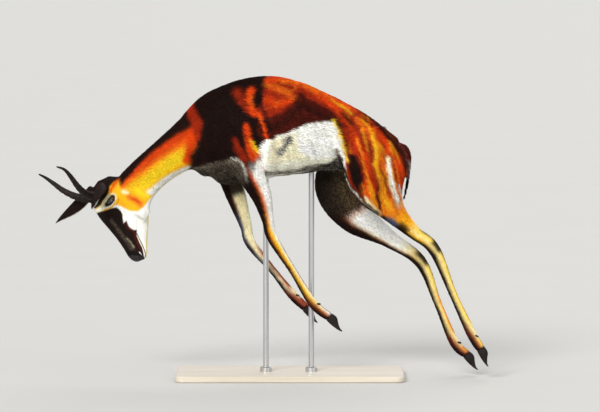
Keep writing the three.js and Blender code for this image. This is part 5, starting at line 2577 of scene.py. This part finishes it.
@dataclass
class Ears:
    """The two long cupped ears, with their own coat outside and pale rows of hair within."""

    root: Point = (12, 22, 31)
    away: Point = (0.27, 0.64, 0.68)
    length: float = 156.0
    width: float = 25.0
    wall: float = 3.2
    steps: int = 60
    half: int = 26

    def build(self, side: Side) -> Object:
        """One ear.

        Args:
            side: Which ear.

        Returns:
            The ear, with the coat's attributes stored on it.
        """
        hand = side
        line = unit(np.array(self.away) * [1, 1, hand])
        opening = np.array([0.85, 0, 0.55 * hand])
        opening = unit(opening - line * (opening @ line))
        wide = np.cross(opening, line)
        u = np.linspace(0, 1, self.steps)[:, None]
        width = self.width * np.sin(np.pi * np.minimum(0.98, 0.16 + 0.84 * u)) ** 0.75 + 0.6
        span = np.radians(250 - 130 * u)
        wall = self.wall * (1 - 0.72 * u)
        share = np.linspace(-0.5, 0.5, self.half)[None]
        shares = np.concatenate([share, share[:, ::-1]], axis=1)
        inner = np.concatenate([0 * share, 0 * share + 1], axis=1)
        folds = 0.7 * np.abs(np.sin(np.pi * 5 * shares)) * (1 - u) * inner
        radius = np.maximum(0.25, width - inner * wall - folds) - 0.35 * (1 - inner)
        angle = span * shares * (1 - 0.03 * inner)
        root = np.array(self.root) * [1, 1, hand]
        centre = root + line * (self.length * 0.98 * u) + opening * (10 * np.sin(np.pi * u))
        local = centre[:, None] + wide * (radius * np.sin(angle))[..., None]
        local = local - opening * (radius * np.cos(angle) * 0.8)[..., None]
        points, faces = loft(HEAD.world(local))
        item = new_object(f"ear_{side.name.lower()}_cup", points, faces)
        self.dress(item.data, u, shares, inner, line @ HEAD.axes, hand)
        return item

    def dress(
        self, mesh: Mesh, u: Array, shares: Array, inner: Array, line: Array, hand: int
    ) -> None:
        """Stores the coat's attributes on an ear.

        Args:
            mesh: The ear's mesh.
            u: Share of the length of each ring, as a column.
            shares: Share round each ring, as a row.
            inner: Whether each point of a ring is inside the cup, as a row.
            line: Direction from root to tip.
            hand: -1 for the left ear and 1 for the right.
        """
        sides = self.half * 2
        grid = (np.broadcast_to(v, (self.steps, sides)).ravel() for v in (u, shares, inner))
        run, around, inside_cup = grid
        ragged = fine_noise(columns(run * 30, around * 12, inside_cup * 5), 77)
        rows = ease(0.35, 0.9, np.abs(np.sin(np.pi * 4 * around)) + 0.2 * ragged)
        edge = ease(0.455, 0.49, -hand * around + 0.02 * ragged) * fall(0.8, 0.95, run)
        colour = layered(
            Hue.MASK,
            (Hue.CHESTNUT, fall(0.0, 0.5, run + 0.1 * ragged) * (1 - inside_cup) * 0.15),
            (Hue.STRAW, inside_cup * rows * fall(0.5, 0.85, run) * 0.5),
            (Hue.WHITE, edge * 0.95),
        )
        loops = read(mesh.loops, "vertex_index")
        ring, spot = np.minimum(loops // sides, self.steps - 1), loops % sides
        total = len(mesh.vertices)
        store(
            mesh,
            coat_colour=opaque(np.concatenate([colour, plain(Hue.MASK, 2)])),
            lie=np.tile(line, (total, 1)),
            coat_cover=np.concatenate([np.where(inside_cup > 0, 0.55 * (run > 0.04), 1.0), [0, 0]]),
            coat_length=np.concatenate([np.where(inside_cup > 0, 0.8, 0.5), [0.4, 0.4]]),
            bare=np.zeros(total),
            zone=np.full(len(mesh.polygons), Region.EAR, np.int32),
            root_uv=columns(0.05 + 0.9 * spot / sides, 0.05 + 0.9 * ring / self.steps, 0),
            grain=columns(ring / self.steps * 0.156, spot * 0.004, 2),
        )


@dataclass
class Hooves:
    """The two claws and two dewclaws of each foot."""

    apart: float = 9.0
    steps: int = 34
    sides: int = 28
    dewclaw: tuple[float, float] = (10.0, 4.4)

    def build(self, leg: Chain) -> Object:
        """The horn of one foot.

        Args:
            leg: The leg that it is on.

        Returns:
            The foot's claws and dewclaws.
        """
        parts = [self.claw(leg, hand) for hand in (-1, 1)] + [self.dew(leg, hand) for hand in (-1, 1)]
        item = joined(f"hooves_{leg.region.name.lower()}", parts)
        points = points_of(item.data)
        wear = ease(0.0, 0.03, points[:, 2].min() + 0.03 - points[:, 2])
        store(item.data, run=points[:, [2, 0, 1]], wear=wear)
        return item

    def claw(self, leg: Chain, hand: int) -> Shell:
        """One claw, from the coronet to the toe.

        Args:
            leg: The leg that it is on.
            hand: -1 or 1 for the claw on either side.

        Returns:
            Points and faces.
        """
        rows = along(np.array(CLAW_ROWS, float), np.linspace(0, len(CLAW_ROWS) - 1, self.steps)) * MM
        reach, front, back, half = rows.T[:, :, None]
        coronet = leg.table[-1, :3]
        t = unit(coronet - leg.table[-2, :3])
        across = unit(np.array([0.0, 1.0, 0.0]) - t * t[1])
        up = np.cross(across, t)
        turn = turns(self.sides)[None]
        c, s = np.cos(turn), np.sin(turn)
        c, s = np.sign(c) * np.abs(c) ** 0.75, np.sign(s) * np.abs(s) ** 0.75
        ridge = 1 + 0.012 * np.sin(reach / MM * 1.1)
        ahead = (front + back) / 2 + (front - back) / 2 * c * ridge
        side = hand * (self.apart * MM + reach * 0.02) + half * s * ridge
        rings = coronet + t * (reach + 0.1 * MM + 0 * c)[..., None] + up * ahead[..., None]
        return loft(rings + across * side[..., None])

    def dew(self, leg: Chain, hand: int) -> Shell:
        """One dewclaw, low on the back of the fetlock.

        Args:
            leg: The leg that it is on.
            hand: -1 or 1 for the dewclaw on either side.

        Returns:
            Points and faces.
        """
        long, radius = (v * MM for v in self.dewclaw)
        fetlock = leg.table[-2, :3]
        t = unit(leg.table[-1, :3] - fetlock)
        across = unit(np.array([0.0, 1.0, 0.0]) - t * t[1])
        back = -np.cross(across, t)
        root = fetlock + t * 7.5 * MM + back * 8 * MM + across * hand * 8 * MM
        way = unit(back * 0.55 + t * 0.9)
        u = np.linspace(0, 1, 14)[:, None]
        turn = turns(14)[None]
        thick = 0.85 * radius * np.sqrt(np.maximum(0.0, 1 - (0.94 * u) ** 2.2))
        beside = np.cross(way, across)
        rings = root + way * (long * 1.1 * u + 0 * turn)[..., None]
        rings = rings + across * (thick * np.cos(turn))[..., None]
        return loft(rings + beside * (thick * np.sin(turn) * 0.8)[..., None])


# The studio


@dataclass
class Studio:
    """A plain pale floor, three soft suns, and a camera far off with a long lens."""

    centre: Point = (0.029, 0.0, 0.499)
    width: float = 1.740
    lens: float = 250.0
    sensor: float = 36.0
    rise: float = 3.4
    reach: float = 400.0
    pale: Colour = srgb(192, 192, 190)
    suns: tuple[tuple[str, Point, float, float, Colour], ...] = (
        ("key", (-1.5, -3.4, 2.3), 3.1, 24, (1.0, 0.985, 0.96)),
        ("fill", (3.0, -2.6, 0.9), 0.6, 50, (0.96, 0.98, 1.0)),
        ("rim", (0.9, 2.8, 2.6), 0.8, 40, (1.0, 0.99, 0.97)),
    )

    def build(self) -> None:
        """Makes the floor, lights and camera."""
        camera = bpy.data.cameras.new("camera")
        camera.lens, camera.sensor_width, camera.clip_end = self.lens, self.sensor, 2 * self.reach
        rise = math.radians(self.rise)
        back = Vector((0, -math.cos(rise), math.sin(rise)))
        away = self.width * self.lens / self.sensor
        item = self.placed("camera", camera, Vector(self.centre) + back * away)
        bpy.context.scene.camera = item
        self.floor()
        for name, way, power, spread, colour in self.suns:
            sun = bpy.data.lights.new(name, "SUN")
            sun.energy, sun.angle, sun.color = power, math.radians(spread), colour
            self.placed(name, sun, Vector(self.centre) + Vector(way))
        world = bpy.data.worlds.new("room")
        world.use_nodes = True
        world.node_tree.nodes["Background"].inputs["Color"].default_value = (0.99, 0.985, 0.97, 1)
        world.node_tree.nodes["Background"].inputs["Strength"].default_value = 0.62
        bpy.context.scene.world = world
        bpy.context.scene.view_settings.view_transform = "Standard"

    def placed(self, name: str, data: ID, place: Vector) -> Object:
        """Sets a camera or a light at a place, facing the animal.

        Args:
            name: Its name.
            data: The camera or light.
            place: Where it is.

        Returns:
            Its object.
        """
        item = linked(name, data)
        item.location = place
        item.rotation_mode = "QUATERNION"
        item.rotation_quaternion = (Vector(self.centre) - place).to_track_quat("-Z", "Y")
        return item

    def floor(self) -> None:
        """Adds the floor."""
        far = self.reach
        mesh = bpy.data.meshes.new("floor")
        points = [(-far, -far, 0), (far, -far, 0), (far, far, 0), (-far, far, 0)]
        mesh.from_pydata(points, [], [(0, 1, 2, 3)])
        item = linked("floor", mesh)
        graph = Paint("pale_floor")
        place = graph.place()
        soft = graph.noise(place, 2.0, 2)
        pale = graph.mix(soft, self.pale, tuple(0.97 * c for c in self.pale))
        item.data.materials.append(graph.surface(Base_Color=pale, Roughness=0.7 + 0.1 * soft))


def finished(item: Object, slot: str, *replaced: str, finish: Material | None = None) -> None:
    """Sets a finished piece on the frame and reports it.

    Args:
        item: The piece.
        slot: The record's material slot; not used.
        replaced: CAD nodes that it stands for.
        finish: Its material, where it has none yet.
    """
    if finish:
        item.data.materials.append(finish)
    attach(item, BODY)
    if replaced:
        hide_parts(*replaced)
    item.data.calc_loop_triangles()
    log.info("%s: %d triangles", item.name, len(item.data.loop_triangles))


def flesh_nodes() -> list[str]:
    """CAD nodes that the skin stands for."""
    nodes = ["torso", "neck", "head", "tail"]
    for side in ("left", "right"):
        nodes += [f"fore_{side}_{part}" for part in ("shoulder", "forearm", "shank", "pastern")]
        nodes += [f"hind_{side}_{part}" for part in ("haunch", "gaskin", "shank", "pastern")]
    return nodes


def corners(box: tuple[Vector, Vector]) -> list[list[float]]:
    """A box's lowest and highest corners as plain lists."""
    return [list(map(float, corner)) for corner in box]


def main() -> None:
    """Builds the springbok and the studio, and gives the stand's CAD parts their finishes."""
    logging.basicConfig(level=logging.INFO, format="%(name)s %(message)s")
    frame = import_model()
    Studio().build()

    skin_finish = CoatFinish("coat_skin").material()
    body = Skin().build()
    finished(body, "body_coat", *flesh_nodes(), finish=skin_finish)

    coat = Coat(CoatFinish("coat_tufts", rough=0.55, tufts=True).material(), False)
    for seed, plan in enumerate(TUFT_PLANS, start=11):
        finished(coat.grow(body, plan, seed), plan.slot)

    horn_finish = HornFinish("horn").material()
    hoof_finish = HornFinish("hoof", (0.005, 0.004, 0.0035), (0.03, 0.02, 0.014), 0.5).material()
    eye_finish = EyeFinish("wet_eye").material()
    ears, horns, eyes, hooves = Ears(), Horns(), Eyes(), Hooves()
    for side in Side:
        name = side.name.lower()
        ear = ears.build(side)
        finished(ear, "head_coat", f"ear_{name}", finish=skin_finish)
        sizes = (1.7 * MM, 11 * MM, 1.2 * MM, 6.0, 10.0)
        plan = TuftPlan(f"coat_ear_{name}", Region.EAR, "head_coat", *sizes)
        finished(coat.grow(ear, plan, 40 + side), plan.slot)
        finished(horns.build(side), "horn", f"horn_{name}", finish=horn_finish)
        finished(eyes.ball(side), "eye", f"eye_{name}", finish=eye_finish)
    rims = eyes.rims()
    finished(rims, "head_coat", finish=SkinFinish("lid_skin").material())
    lashes = TuftPlan("eyelashes", 0, "head_coat", 0.9 * MM, 8 * MM, 0.7 * MM, 52.0, 10.0)
    finished(coat.grow(rims, lashes, 60), lashes.slot)
    for leg in LEGS:
        name = leg.region.name.lower()
        finished(hooves.build(leg), "hoof", f"{name}_claw_inner", f"{name}_claw_outer", finish=hoof_finish)
    bpy.data.objects.remove(coat.template())

    base_finish, steel_finish = BaseFinish("pale_wood").material(), SteelFinish("rod_steel").material()
    finishes = {"stand_base": base_finish, "stand_rod_front": steel_finish, "stand_rod_rear": steel_finish}
    for node, finish in finishes.items():
        frame["nodes"][node].data.materials.clear()
        frame["nodes"][node].data.materials.append(finish)


if __name__ == "__main__":
    main()
